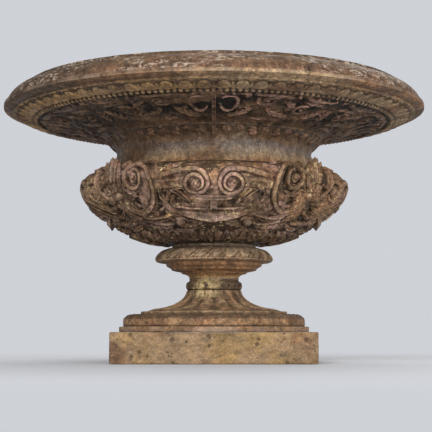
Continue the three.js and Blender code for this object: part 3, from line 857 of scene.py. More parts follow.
class VaseSizes(bpy.types.PropertyGroup):
    wall: length("Wall", 0.009, "Thickness of the castings")
    stem_radius: length("Stem radius", 0.05, "Radius of the stem under the collar")
    ring_projection: length("Ring projection", 0.005, "How far the beaded ring stands out of the stem")
    foot_relief: length("Foot relief", 0.0052, "Height of the leaves on the foot")
    collar_relief: length("Collar relief", 0.004, "Height of the leaves on the collar's roll")
    bead_circle: length("Bead circle", 0.3605, "Radius of the circle that the bead row follows")
    bead_radius: length("Bead radius", 0.0055, "Radius of the bead row in section")
    bead_count: IntProperty(name="Beads", default=196, description="Bumps in the row under the rim")
    tongue_count: IntProperty(name="Tongues", default=72, description="Tongues in the leaf band of the rim")
    tongue_relief: length("Tongue relief", 0.0042, "Height of the tongues on the leaf band")
    strap_width: length("Strap width", 0.0058, "Half the width of the straps on the bowl")
    strap_relief: length("Strap relief", 0.0095, "Height of the straps off the bowl")
    leaf_relief: length("Leaf relief", 0.009, "Height of the leaves off the bowl")
    ground_relief: length("Ground relief", 0.0062, "Height of the crinkled foliage between the straps")
    lip_relief: length("Lip relief", 0.0155, "How far the lip of each panel stands out")
    volute_radius: length("Volute radius", 0.0262, "Radius of the front volutes at their strap's middle")
    soffit_relief: length("Soffit relief", 0.0052, "Height of the foliage under the rim")


class VaseColours(bpy.types.PropertyGroup):
    # Soot is also the painted shade in the hollows and under the rim
    soot_and_shade: paint("Soot", (0.016, 0.011, 0.008), "Dirt in the hollows")
    brown: paint("Brown", (0.065, 0.04, 0.024), "Dark brown rust")
    umber: paint("Umber", (0.17, 0.097, 0.052), "Middle brown rust")
    rust: paint("Rust", (0.2, 0.1, 0.055), "Red brown rust")
    orange: paint("Orange", (0.32, 0.17, 0.082), "Orange brown rust")
    ochre: paint("Ochre", (0.38, 0.24, 0.1), "Yellow ochre stain")
    olive: paint("Olive", (0.21, 0.15, 0.088), "Grey olive")
    tan: paint("Tan", (0.34, 0.222, 0.122), "Tan")
    grey: paint("Grey", (0.29, 0.215, 0.145), "Warm grey")
    cream: paint("Cream", (0.56, 0.42, 0.21), "Cream stain at the neck of the stem")
    pale: paint("Pale", (0.48, 0.37, 0.28), "Limed and chipped patches")
    mauve: paint("Mauve", (0.35, 0.21, 0.155), "Worn iron with a mauve cast")
    slate: paint("Slate", (0.17, 0.13, 0.108), "Bluish dark iron")
    backdrop: paint("Backdrop", (0.62, 0.64, 0.68), "Floor and backdrop")


# Pieces


# Name, place, size in metres and power in watts
LAMPS = (
    ("key_lamp", (-2.2, -5.0, 3.5), 3.0, 250),
    ("fill_lamp", (3.8, -4.2, 1.9), 3.0, 125),
    ("low_lamp", (1.4, -5.2, 0.35), 2.0, 95),
    ("back_lamp", (0.8, 1.6, 2.4), 2.0, 32),
)
LAMP_TARGET = Vector((0, 0, 0.3))
CAMERA_PLACE = (0.004, -2.488, 0.06)
CAMERA_PITCH = math.radians(95.39)


class VASE_OT_stage(bpy.types.Operator):
    """Sets the floor, the backdrop, the lamps and the camera"""

    bl_idname = "vase.stage"
    bl_label = "Stage"

    def execute(self, context):
        self.backdrop(context.scene.vase_colours)
        for name, place, size, power in LAMPS:
            self.lamp(name, place, size, power)
        context.scene.world = self.surround(context.scene.vase_colours)
        context.scene.view_settings.view_transform = "Standard"
        data = bpy.data.cameras.new("camera")
        data.lens = 102.4
        data.sensor_width = 36
        camera = bpy.data.objects.new("camera", data)
        camera.location = CAMERA_PLACE
        camera.rotation_euler = (CAMERA_PITCH, 0, 0)
        context.collection.objects.link(camera)
        context.scene.camera = camera
        return {"FINISHED"}

    def surround(self, colours):
        """A soft even light that the camera sees as the backdrop's tone."""
        world = bpy.data.worlds.new("studio")
        world.use_nodes = True
        tree = world.node_tree
        light = tree.nodes["Background"]
        light.inputs["Color"].default_value = (1.0, 0.96, 0.91, 1)
        light.inputs["Strength"].default_value = 0.3
        seen = tree.nodes.new("ShaderNodeBackground")
        seen.inputs["Color"].default_value = (*colours.backdrop, 1)
        ray = tree.nodes.new("ShaderNodeLightPath")
        mixed = tree.nodes.new("ShaderNodeMixShader")
        for start, end in (
            (ray.outputs["Is Camera Ray"], mixed.inputs[0]), (light.outputs[0], mixed.inputs[1]),
            (seen.outputs[0], mixed.inputs[2]), (mixed.outputs[0], tree.nodes["World Output"].inputs[0]),
        ):
            tree.links.new(start, end)
        return world

    def backdrop(self, colours):
        bm = bmesh.new()
        reach, bend, rise, half = 3.0, 1.6, 4.0, 6.0
        line = stacked((-4.0, 0.0), (reach, 0.0), bezier((reach, 0), (reach + bend * 0.6, 0),
                       (reach + bend, bend * 0.4), (reach + bend, bend), 16), (reach + bend, rise))
        verts = [bm.verts.new((-half, depth, height)) for depth, height in line]
        edges = [bm.edges.new(pair) for pair in zip(verts, verts[1:])]
        made = bmesh.ops.extrude_edge_only(bm, edges=edges)["geom"]
        bmesh.ops.translate(bm, verts=[item for item in made if isinstance(item, bmesh.types.BMVert)],
                            vec=(2 * half, 0, 0))
        bmesh.ops.recalc_face_normals(bm, faces=bm.faces)
        mesh = bpy.data.meshes.new("backdrop")
        bm.to_mesh(mesh)
        bm.free()
        mesh.shade_smooth()
        mesh.materials.append(self.paper(colours))
        sheet = bpy.data.objects.new("backdrop", mesh)
        bpy.context.collection.objects.link(sheet)

    def paper(self, colours):
        """Pale paper that keeps the object's shadow near it and is one even tone further away."""
        material = bpy.data.materials.new("backdrop")
        material.use_nodes = True
        tree = material.node_tree
        lit = tree.nodes["Principled BSDF"]
        lit.inputs["Base Color"].default_value = (*colours.backdrop, 1)
        lit.inputs["Roughness"].default_value = 0.95
        even = tree.nodes.new("ShaderNodeEmission")
        even.inputs["Color"].default_value = (*colours.backdrop, 1)
        place = tree.nodes.new("ShaderNodeTexCoord")
        away = tree.nodes.new("ShaderNodeVectorMath")
        away.operation = "LENGTH"
        far = tree.nodes.new("ShaderNodeMapRange")
        far.inputs["From Min"].default_value = 0.35
        far.inputs["From Max"].default_value = 1.3
        ray = tree.nodes.new("ShaderNodeLightPath")
        share = tree.nodes.new("ShaderNodeMath")
        share.operation = "MULTIPLY"
        mixed = tree.nodes.new("ShaderNodeMixShader")
        for start, end in (
            (place.outputs["Object"], away.inputs[0]), (away.outputs["Value"], far.inputs["Value"]),
            (far.outputs[0], share.inputs[0]), (ray.outputs["Is Camera Ray"], share.inputs[1]),
            (share.outputs[0], mixed.inputs[0]), (lit.outputs[0], mixed.inputs[1]),
            (even.outputs[0], mixed.inputs[2]), (mixed.outputs[0], tree.nodes["Material Output"].inputs[0]),
        ):
            tree.links.new(start, end)
        return material

    def lamp(self, name, place, size, power):
        data = bpy.data.lights.new(name, "AREA")
        data.shape = "DISK"
        data.size = size
        data.energy = power
        lamp = bpy.data.objects.new(name, data)
        lamp.location = place
        lamp.rotation_euler = (LAMP_TARGET - Vector(place)).to_track_quat("-Z", "Y").to_euler()
        bpy.context.collection.objects.link(lamp)


class VASE_OT_plinth(bpy.types.Operator):
    """Makes the square plinth with its worn edges"""

    bl_idname = "vase.plinth"
    bl_label = "Plinth"

    def execute(self, context):
        bm = bmesh.new()
        bm.from_mesh(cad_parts["plinth"].data)
        bmesh.ops.remove_doubles(bm, verts=bm.verts, dist=1e-6)
        bmesh.ops.dissolve_limit(bm, angle_limit=math.radians(1), verts=bm.verts, edges=bm.edges)
        low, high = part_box("plinth")
        half = high[0]
        corners = [edge for edge in bm.edges
                   if all(max(abs(vert.co.x), abs(vert.co.y)) > half - MM for vert in edge.verts)
                   and edge.calc_face_angle(0) > math.radians(60)]
        bmesh.ops.bevel(bm, geom=corners, offset=2.5 * MM, affect="EDGES", segments=3, profile=0.5,
                        material=-1)
        for axis, ends in ((0, (-half, half)), (1, (-half, half)), (2, (low[2], high[2]))):
            normal = [float(axis == other) for other in range(3)]
            for place in np.arange(ends[0] + 4 * MM, ends[1] - 3 * MM, 4 * MM):
                bmesh.ops.bisect_plane(bm, geom=bm.verts[:] + bm.edges[:] + bm.faces[:],
                                       plane_co=[place * part for part in normal], plane_no=normal)
        bmesh.ops.triangulate(bm, faces=bm.faces)
        finished("plinth_block", bm, plinth_iron, ["plinth"], crust=0.0014)
        return {"FINISHED"}


class VASE_OT_foot(bpy.types.Operator):
    """Makes the round foot with its leaf rings and beaded ring"""

    bl_idname = "vase.foot"
    bl_label = "Foot"

    def execute(self, context):
        sizes = context.scene.vase_sizes
        low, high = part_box("foot")
        floor, top, fillet = low[2], high[2], high[0]
        step_radius, ovolo_radius = fillet - 44 * MM, fillet - 8.5 * MM
        step = floor + 35.5 * MM
        stem_foot = sizes.stem_radius + 2.6 * MM
        ring_low, ring_high = top - 23.5 * MM, top - 6.5 * MM
        spread = step + 5.5 * MM
        fall = ring_low - spread
        trumpet = bezier((step_radius, spread), (step_radius * 0.6, spread),
                         (stem_foot * 1.1, spread + fall / 3), (stem_foot, ring_low), 56)
        ovolo = bezier((ovolo_radius, floor + 22 * MM), (ovolo_radius, floor + 30 * MM),
                       (ovolo_radius - 9 * MM, step), (ovolo_radius - 19 * MM, step), 18)
        shelf = resampled([(ovolo_radius - 19 * MM, step), (step_radius + 1 * MM, step)], 2 * MM)[1:]
        wall, crown, flange, opening = sizes.wall, top - 12 * MM, floor + 10 * MM, 140 * MM
        hollow = bezier((stem_foot - wall, ring_low), (stem_foot, spread + 20 * MM),
                        (step_radius * 0.6, spread - wall), (step_radius - wall, spread - wall), 8)
        inner = stacked((ROD_BORE, top), (ROD_BORE, crown), (sizes.stem_radius - wall, crown),
                        (stem_foot - wall, ring_low), hollow, (ovolo_radius - 2 * wall, floor + 26 * MM),
                        (ovolo_radius - wall, floor + 20 * MM), (ovolo_radius - wall, flange),
                        (opening, flange), (opening, floor))
        outline = stacked(
            (fillet - 1 * MM, floor), (fillet, floor + 1 * MM), (fillet, floor + 9.5 * MM),
            (fillet - 1.2 * MM, floor + 10.6 * MM), (ovolo_radius - 1 * MM, floor + 11 * MM),
            resampled([(ovolo_radius, floor + 13 * MM), (ovolo_radius, floor + 22 * MM)], 2 * MM),
            ovolo, shelf, (step_radius, step + 1 * MM), (step_radius, spread - 1 * MM),
            (step_radius - 1 * MM, spread), trumpet,
            half_round((stem_foot, ring_low), (stem_foot, ring_high), sizes.ring_projection, 14),
            (sizes.stem_radius, ring_high + 2 * MM), (sizes.stem_radius, top), inner)
        bm = turned(outline, segments=560)
        leaf_reach, leaves, fans, beads = 0.141, 16, 34, 22

        def relief(spots):
            angle, radius, height = spots.angle, spots.radius, spots.height
            outside = (spots.outward > 0.02) | (spots.upward > 0.2)
            on_trumpet = outside & (height > spread + 0.1 * MM) & (height < ring_low - 1 * MM)
            on_trumpet &= radius < leaf_reach
            share = np.clip((radius - stem_foot) / (leaf_reach - stem_foot), 0, 1) ** 0.6
            behind = leaf_ring(angle + 180 / leaves, share * 0.93 + 0.01, leaves)
            ring = np.maximum(leaf_ring(angle, share * 0.98 + 0.01, leaves), 0.5 * share * behind)
            spreading = 0.6 + 0.4 * smooth_step(radius, stem_foot, 0.075)
            off = on_trumpet * sizes.foot_relief * ring * spreading * smooth_step(radius, 0.14, 0.118)
            on_ovolo = outside & (height > floor + 20 * MM) & (height <= step + 0.5 * MM) & (radius > 0.15)
            over = np.arctan2(height - floor - 20 * MM, radius - ovolo_radius + 19 * MM)
            fan = leaf_ring(angle, np.clip((1.42 - over) / 0.82, 0, 1), fans)
            strokes = 0.5 + 0.5 * np.cos(np.radians(angle) * fans * 4)
            fan_band = smooth_step(over, 0.5, 0.68) * smooth_step(over, 1.55, 1.45)
            off += on_ovolo * 0.5 * sizes.foot_relief * fan_band * (fan * (0.4 + 0.6 * strokes) - 0.8)
            on_ring = (height > ring_low) & (height < ring_high) & (spots.outward > 0)
            on_ring &= radius > stem_foot - 1 * MM
            bead = np.cos(np.radians(angle) * beads)
            across = (height - (ring_low + ring_high) / 2) / (ring_high - ring_low) * 2
            off -= on_ring * 3.0 * MM * np.exp(-(((1 - bead) / 0.5) ** 2) - (across / 0.45) ** 2)
            off -= on_ring * 0.8 * MM * (0.5 - 0.5 * bead)
            return off

        finished("foot_casting", bm, foot_iron, ["foot"], relief=relief, crust=0.0012)
        return {"FINISHED"}


class VASE_OT_collar(bpy.types.Operator):
    """Makes the stepped collar with its leafy roll"""

    bl_idname = "vase.collar"
    bl_label = "Collar"

    def execute(self, context):
        sizes = context.scene.vase_sizes
        low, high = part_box("collar")
        seat, top, widest = low[2], high[2], high[0]
        roll_top, roll_middle = top - 5.5 * MM, top - 28 * MM
        marks = [(-16.5, -7.5), (-7, -6.5), (-1.5, -3.5), (0, 0), (-1.5, 5), (-6.5, 11.5), (-16, 18.5),
                 (-30, 22.5)]
        roll = spline([(widest + reach * MM, roll_middle + height * MM) for reach, height in marks], 44)
        roll_centre = widest - 30 * MM
        lower = [(65, 9.4), (66, 10.4), (66, 12), (85, 16.4), (86, 17.2), (87.5, 20), (95.8, 24.6),
                 (96.5, 25.5), (97.5, 29.8), (98.2, 30.5), (102, 30.8), (103, 31.1)]
        steps = np.array([(radius * MM, seat + height * MM) for radius, height in lower])
        stem = sizes.stem_radius
        flare = bezier((stem, seat), (stem + 0.5 * MM, seat + 4 * MM), (stem + 4 * MM, seat + 8 * MM),
                       steps[0], 8)
        mouth, opening = 60 * MM, 41 * MM
        inner = stacked((mouth, top), (mouth, roll_top - 2 * MM), (roll_centre, roll_top - sizes.wall),
                        (widest - 1.6 * sizes.wall, roll_middle + 1 * MM), (96 * MM, roll_middle - 2 * MM),
                        (86 * MM, seat + 28 * MM), (66 * MM, seat + 22 * MM), (opening, seat + 12 * MM),
                        (opening, seat))
        outline = stacked((stem, seat), flare, resampled(steps, 3 * MM), roll, (86 * MM, roll_top + 1 * MM),
                          (BOWL_SEAT, top), inner)
        bm = turned(outline, segments=420)
        leaf_count = 24

        def relief(spots):
            outside = (spots.outward > 0.02) | (spots.upward > 0.2)
            on_roll = outside & (spots.height > roll_middle - 4 * MM) & (spots.radius > 84.5 * MM)
            over = np.arctan2(spots.height - roll_middle, spots.radius - roll_centre)
            share = np.clip(1 - (over + 0.05) / (math.pi / 2), 0.01, 0.99)
            leaves = leaf_ring(spots.angle, share, leaf_count, lean=0.5)
            swirls = 0.5 + 0.5 * np.cos(math.tau * (spots.angle * leaf_count / 360 * 3 + 3.1 * share))
            depth = on_roll * -sizes.collar_relief * (1.1 - leaves)
            return depth * (0.6 + 0.4 * swirls) * (0.25 + 0.55 * share**0.5)

        finished("collar_casting", bm, collar_iron, ["collar"], relief=relief, crust=0.0013)
        return {"FINISHED"}


def bowl_section():
    """The bowl's plain outer surface, from its seat to its shoulder."""
    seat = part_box("bowl")[0][2]
    widest = 0.263
    marks = [(0.088, 0.005), (widest * 0.555, 0.017), (widest * 0.72, 0.037), (widest * 0.856, 0.059),
             (widest * 0.958, 0.088), (widest, 0.114), (widest * 0.962, 0.134), (widest * 0.87, 0.144)]
    return Section(spline([(radius, seat + height) for radius, height in marks], 125))


class VASE_OT_bowl(bpy.types.Operator):
    """Makes the bowl's body, with crinkled foliage between the places of the straps"""

    bl_idname = "vase.bowl"
    bl_label = "Bowl body"

    def execute(self, context):
        sizes = context.scene.vase_sizes
        low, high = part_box("bowl")
        seat, top = low[2], high[2]
        outside = bowl_section().points
        inside = offset(outside, sizes.wall)[::-6]
        inside = inside[(inside[:, 1] > seat + 12 * MM) & (inside[:, 1] < top - 10 * MM)]
        floor, boss_top = seat + 12 * MM, seat + 15 * MM
        flange, boss_radius = top - 10 * MM, 32 * MM
        outline = stacked((ROD_BORE, seat), (BOWL_SEAT, seat), outside, (208 * MM, top - 1.5 * MM),
                          (205 * MM, top), (THROAT, top), (THROAT, flange), (196 * MM, flange), inside,
                          (BOWL_SEAT, floor), (boss_radius, floor), (boss_radius, boss_top),
                          (ROD_BORE, boss_top))
        bm = turned(outline, segments=576)
        shoulder = top - 9 * MM

        def relief(spots):
            outside = (spots.outward > 0.02) | (spots.height > shoulder)
            body = outside & (spots.radius > 0.1) & (spots.height > seat + 7 * MM)
            calm = smooth_step(spots.height, shoulder + 5 * MM, shoulder - 8 * MM)
            crinkle = 0.72 * folds(spots.places, 27 * MM) + 0.28 * folds(spots.places, 10 * MM, 4.4)
            low_down = 0.35 + 0.65 * smooth_step(spots.height, seat + 34 * MM, seat + 52 * MM)
            return body * calm * low_down * sizes.ground_relief * np.clip(crinkle, -0.4, 1)

        finished("bowl_body", bm, bowl_iron, ["bowl"], relief=relief, crust=0.001)
        return {"FINISHED"}


class VASE_OT_scrollwork(bpy.types.Operator):
    """Makes the volutes, the straps and the curled lips on the bowl"""

    bl_idname = "vase.scrollwork"
    bl_label = "Scrollwork"

    def execute(self, context):
        section = bowl_section()
        self.all_faces(context, section)
        self.front_and_back(context, section)
        self.sides(context, section)
        return {"FINISHED"}

    def all_faces(self, context, section):
        """The volutes, the post between them and the lip below, on each of the four faces."""
        sizes = context.scene.vase_sizes
        width, relief = sizes.strap_width, sizes.strap_relief
        bm = ornament()
        put, put_boss = partial(stroke, bm, section), partial(boss, bm, section)
        for hand in (1, -1):
            angle, along = 7.5, 0.201
            winding = volute_route(section, angle, along, sizes.volute_radius, 0.0115, 1.65, 90, 1,
                                   stretch=0.92)
            lead = [(26, 0.2125), (21, 0.2165), (16, 0.2215), (11.5, 0.2245)]
            put(np.vstack([lead, winding]) * (hand, 1), width * 1.25, relief * 1.05, band_form,
                steps=(160, 12), taper=0.6, fade=(0.1, 0.06))
            shoulder = [(hand * 27.5, 0.1985), (hand * 20, 0.2005), (hand * 11, 0.203)]
            put(shoulder, 0.0135, relief * 0.75, band_form, steps=(40, 12), fade=(0.05, 0.05))
            put_boss(hand * angle, along - 1 * MM, 0.0105, relief * 0.95, hand=hand, swirl=0.5)
            wing = [(hand * 18, 0.152), (hand * 11.5, 0.1485), (hand * 5, 0.1455), (0, 0.1445)]
            put(wing, 0.0026, relief * 0.8, cord_form, fade=(0.2, 0.05))
        put([(-9, 0.1765), (0, 0.1735), (9, 0.1765)], 0.0048, relief * 1.25, strap_form)
        put([(0, 0.172), (0, 0.157), (0, 0.143)], 0.0085, relief, strap_form, fade=(0.05, 0.05))
        lip = [(-20, 0.139), (-12, 0.1325), (0, 0.127), (12, 0.1325), (20, 0.139)]
        put(lip, 0.0105, sizes.lip_relief, lip_form, steps=(80, 18), fade=(0.02, 0.02))
        repeated(bm, 4)
        finished("bowl_scrollwork", bm, bowl_iron, ["bowl"], crust=HEAVY_CRUST)

    def front_and_back(self, context, section):
        """The long scrolls beside the volutes, and the braces under them."""
        sizes = context.scene.vase_sizes
        width, relief = sizes.strap_width, sizes.strap_relief
        bm = ornament()
        put, put_boss = partial(stroke, bm, section), partial(boss, bm, section)
        for hand in (1, -1):
            eye, along = 34, 0.2155
            lead = [(45.5, 0.182), (42, 0.158), (37.3, 0.1445), (32.5, 0.1475), (28.2, 0.163), (26, 0.185),
                    (26, 0.208), (28, 0.2265), (31, 0.2365)]
            winding = volute_route(section, eye, along, 0.0245, 0.0095, 1.2, 90, -1)
            put(np.vstack([lead, winding]) * (hand, 1), width * 1.65, relief * 1.15, band_form,
                steps=(150, 14), taper=0.45, fade=(0.08, 0.04))
            put_boss(hand * eye, along, 0.0115, relief * 1.1, hand=-hand, swirl=0.6)
            for shift in (0, 1):
                brace = [(19.5 - shift * 2.6, 0.194), (14.5 - shift * 2.2, 0.178 - 2 * MM * shift),
                         (9.3, 0.158 - 3 * MM * shift)]
                put(np.array(brace) * (hand, 1), 0.0026, relief * 0.95, cord_form)
            slot = [(hand * 22.5, 0.2), (hand * 22.8, 0.18), (hand * 21.5, 0.158)]
            put(slot, width * 0.95, relief * 0.9, strap_form, fade=(0.1, 0.15))
            under = [(hand * 41, 0.132), (hand * 33, 0.1235), (hand * 24, 0.128), (hand * 19, 0.1365)]
            put(under, 0.0048, relief, cord_form, steps=(34, 8))
            low = [(hand * 41, 0.118), (hand * 34, 0.106), (hand * 27, 0.1), (hand * 21, 0.106)]
            put(low, 0.0052, relief * 0.9, cord_form, steps=(34, 8))
            put_boss(hand * 19.5, 0.1045, 0.0115, relief * 1.2)
        repeated(bm, 2)
        finished("bowl_front_scrolls", bm, bowl_iron, ["bowl"], crust=HEAVY_CRUST)

    def sides(self, context, section):
        """The long ridges that sweep down from the volutes towards the corners."""
        sizes = context.scene.vase_sizes
        relief = sizes.strap_relief
        bm = ornament()
        put, put_boss = partial(stroke, bm, section), partial(boss, bm, section)
        for hand in (1, -1):
            for drop, far in ((0, 37), (13, 35), (25, 33)):
                sweep = [(90 + hand * 5, 0.207 - drop * MM), (90 + hand * 15, 0.191 - drop * MM),
                         (90 + hand * 26, 0.168 - drop * 1.05 * MM),
                         (90 + hand * far, 0.143 - drop * 0.7 * MM)]
                put(sweep, 0.0058, relief * 1.05, ridges_form(3), steps=(70, 14))
            rib = [(90 + hand * 34, 0.242), (90 + hand * 32, 0.215), (90 + hand * 36, 0.19),
                   (90 + hand * 41, 0.175)]
            put(rib, 0.0052, relief, band_form, steps=(50, 8))
            put_boss(90 + hand * 27, 0.2, 0.012, relief * 1.25, hand=hand, swirl=0.6)
            eye = volute_route(section, 90 + hand * 27, 0.2, 0.0185, 0.0165, 0.8, 60, hand)
            put(eye, 0.0036, relief, cord_form, steps=(60, 8))
        repeated(bm, 2)
        finished("bowl_side_scrolls", bm, bowl_iron, ["bowl"], crust=0.0012)


class VASE_OT_foliage(bpy.types.Operator):
    """Makes the leaves on the bowl and the crests at its shoulder"""

    bl_idname = "vase.foliage"
    bl_label = "Bowl foliage"

    def execute(self, context):
        section = bowl_section()
        relief = context.scene.vase_sizes.leaf_relief
        bm = ornament()
        put = partial(stroke, bm, section)
        leaves = [
            # route, half width, lobes
            ([(31, 0.172), (34, 0.182), (37.5, 0.19), (41, 0.2)], 0.0085, 4),
            ([(30, 0.19), (33, 0.1875), (37, 0.179), (40, 0.168)], 0.006, 4),
            ([(16.5, 0.182), (18.5, 0.17), (18, 0.157), (15, 0.149)], 0.0075, 4),
            ([(12.5, 0.18), (13, 0.168), (11.5, 0.16), (8.5, 0.152)], 0.005, 3),
            ([(23, 0.15), (26, 0.145), (31, 0.137), (38, 0.134)], 0.0065, 5),
            ([(20, 0.128), (27, 0.117), (34, 0.112), (41, 0.105)], 0.007, 5),
            ([(5, 0.107), (9, 0.1), (15, 0.094), (22, 0.09)], 0.0085, 5),
            ([(24, 0.092), (30, 0.09), (37, 0.094), (43, 0.104)], 0.008, 5),
            ([(14, 0.2), (17, 0.205), (20, 0.203), (23, 0.196)], 0.0045, 3),
            ([(38, 0.232), (41, 0.22), (42, 0.205), (41, 0.192)], 0.0065, 4),
            ([(22, 0.238), (27, 0.245), (33, 0.248), (39, 0.243)], 0.0045, 4),
            ([(29, 0.158), (33, 0.155), (37, 0.16), (38, 0.17)], 0.005, 4),
            ([(42, 0.15), (39, 0.142), (35, 0.134), (30, 0.128)], 0.006, 4),
            ([(41, 0.212), (38, 0.206), (35, 0.202), (31, 0.203)], 0.0045, 3),
            ([(24, 0.172), (22.5, 0.182), (21, 0.19), (17, 0.193)], 0.0045, 3),
            ([(12, 0.112), (16, 0.118), (22, 0.117), (27, 0.109)], 0.006, 4),
            ([(3, 0.118), (7, 0.113), (12, 0.108), (17, 0.107)], 0.005, 3),
            ([(33, 0.084), (29, 0.078), (23, 0.076), (17, 0.08)], 0.007, 4),
        ]
        for hand in (1, -1):
            for route, half_width, lobes in leaves:
                put(np.array(route) * (hand, 1), half_width, relief, leaf_form(lobes),
                    steps=(5 * lobes + 8, 8), sweep=0.3, lift=1 * MM, curl=1.5 * MM, fade=(0.15, 0.12))
        repeated(bm, 4)
        finished("bowl_foliage", bm, bowl_iron, ["bowl"], crust=HEAVY_CRUST)
        self.corners(section, context)
        self.lower_leaves(section)
        return {"FINISHED"}

    def corners(self, section, context):
        """The long leaf at each corner, a fan of small ones and the crest over them."""
        bm = ornament()
        put, put_boss = partial(stroke, bm, section), partial(boss, bm, section)
        relief = context.scene.vase_sizes.leaf_relief
        put([(45, 0.172), (45, 0.14), (45, 0.096)], 0.016, relief, leaf_form(6), steps=(44, 14), sweep=0.35,
            lift=1 * MM, fade=(0.1, 0.5))
        put([(45, 0.14), (45, 0.122), (45, 0.108)], 0.006, relief * 0.6, leaf_form(2), steps=(20, 8),
            sweep=0.2, curl=2 * MM, fade=(0.3, 0.02))
        for lean in (-2, -1, 0, 1, 2):
            leaf = [(45 + lean * 1.5, 0.186), (45 + lean * 2.7, 0.205),
                    (45 + lean * 3.6, 0.224 - 0.003 * lean**2)]
            put(leaf, 0.0064, relief * 0.95, leaf_form(3), steps=(22, 8), sweep=0.3, lift=1 * MM,
                curl=2 * MM)
        for lean, half_width in ((-1, 0.0085), (0, 0.0165), (1, 0.0085)):
            crest = [(45 + lean * 1.8, 0.204), (45 + lean * 2.4, 0.22),
                     (45 + lean * 2.9, 0.242 - 0.004 * abs(lean))]
            put(crest, half_width, relief * 1.15, ridges_form(3, pinch=0.4), steps=(30, 16), sweep=0.1,
                lift=4 * MM, curl=16 * MM - 4 * MM * abs(lean), fade=(0.25, 0.01))
        ridge = [(40.5, 0.262), (40.8, 0.24), (42, 0.222), (41.5, 0.204)]
        for hand in (1, -1):
            side = [(45 + hand * (45 - angle), along) for angle, along in ridge]
            put(side, 0.0032, relief * 1.2, cord_form, steps=(30, 8))
        put_boss(45, 0.184, 0.0095, relief * 1.3)
        repeated(bm, 4)
        finished("bowl_corners", bm, bowl_iron, ["bowl"], crust=HEAVY_CRUST)

    def lower_leaves(self, section):
        """The two rings of leaves that rise from the bowl's seat."""
        bm = ornament()
        put = partial(stroke, bm, section)
        put([(0, 0.006), (0, 0.04), (0, 0.086)], 0.0185, 0.0105, leaf_form(5, root=0.9), steps=(40, 14),
            sweep=0.35, curl=6 * MM, fade=(0.3, 0.04))
        put([(9, 0.006), (9, 0.035), (9, 0.072)], 0.012, 0.008, leaf_form(3, root=0.8), steps=(24, 10),
            sweep=0.35, curl=4 * MM, fade=(0.3, 0.04))
        repeated(bm, 20)
        finished("bowl_lower_leaves", bm, bowl_iron, ["bowl"], crust=0.001)


def neck_line():
    """The neck's outer line, from its seat to the joint with the rim."""
    low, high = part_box("neck")
    height = high[2] - 9 * MM - low[2]
    marks = [(205, 0), (199.5, 0.2), (198.5, 0.45), (200, 0.7), (219, 1)]
    return spline([(radius * MM, low[2] + share * height) for radius, share in marks], 60)


class VASE_OT_neck(bpy.types.Operator):
    """Makes the plain neck and the foot of the foliage at its top"""

    bl_idname = "vase.neck"
    bl_label = "Neck"

    def execute(self, context):
        sizes = context.scene.vase_sizes
        low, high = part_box("neck")
        seat, spigot_top = low[2], high[2]
        outside = neck_line()
        joint = outside[-1][1]
        inside = offset(outside, sizes.wall)[::-5]
        inside = inside[(inside[:, 1] > seat + 11 * MM) & (inside[:, 1] < joint - 5 * MM)]
        spigot, spigot_bore, flange = 214 * MM, 207 * MM, seat + 10 * MM
        outline = stacked((THROAT, seat), outside, (spigot, joint), (spigot, spigot_top),
                          (spigot_bore, spigot_top), inside, (190 * MM, flange), (THROAT, flange))
        bm = turned(outline, segments=480)

        def relief(spots):
            out = (spots.outward > 0.02) & (spots.radius > 196 * MM) & (spots.height > seat + 4 * MM)
            leafy = smooth_step(spots.height, joint - 34 * MM, joint - 6 * MM)
            streaks = folds(spots.places * (1, 1, 0.35), 12 * MM)
            return out * sizes.soffit_relief * 0.55 * leafy * streaks

        finished("neck_casting", bm, neck_iron, ["neck"], relief=relief, crust=0.0014)
        self.stems(context)
        return {"FINISHED"}

    def stems(self, context):
        """The four stems that run down to the middle of the neck, and the leaf tips between them."""
        section = Section(neck_line())
        bm = ornament()
        put = partial(stroke, bm, section)
        relief = context.scene.vase_sizes.soffit_relief * 0.8
        end = section.length
        put([(0, end), (0, end - 0.02), (0, end - 0.042)], 0.0042, relief, strap_form, taper=0.6,
            fade=(0.0, 0.5))
        for hand in (1, -1):
            for spread, fall in ((5, 0.022), (12, 0.015), (19, 0.028), (26, 0.018), (33, 0.025), (40, 0.016)):
                leaf = [(hand * spread, end), (hand * (spread + 1.5), end - fall / 2),
                        (hand * (spread + 2.5), end - fall)]
                put(leaf, 0.011, relief, leaf_form(3, root=0.9), steps=(20, 8), sweep=0.3, fade=(0.0, 0.3))
        repeated(bm, 4)
        finished("neck_leaves", bm, shaded_soffit_iron, ["neck"], crust=0.001)


def soffit_section():
    """The underside of the rim, from the neck out to the bead row."""
    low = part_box("rim")[0][2]
    start = (0.221, low + 2.5 * MM)
    curve = bezier(start, (0.253, low + 19.5 * MM), (0.3005, low + 30.5 * MM), (0.351, low + 36.5 * MM), 60)
    return Section(stacked(start, curve))


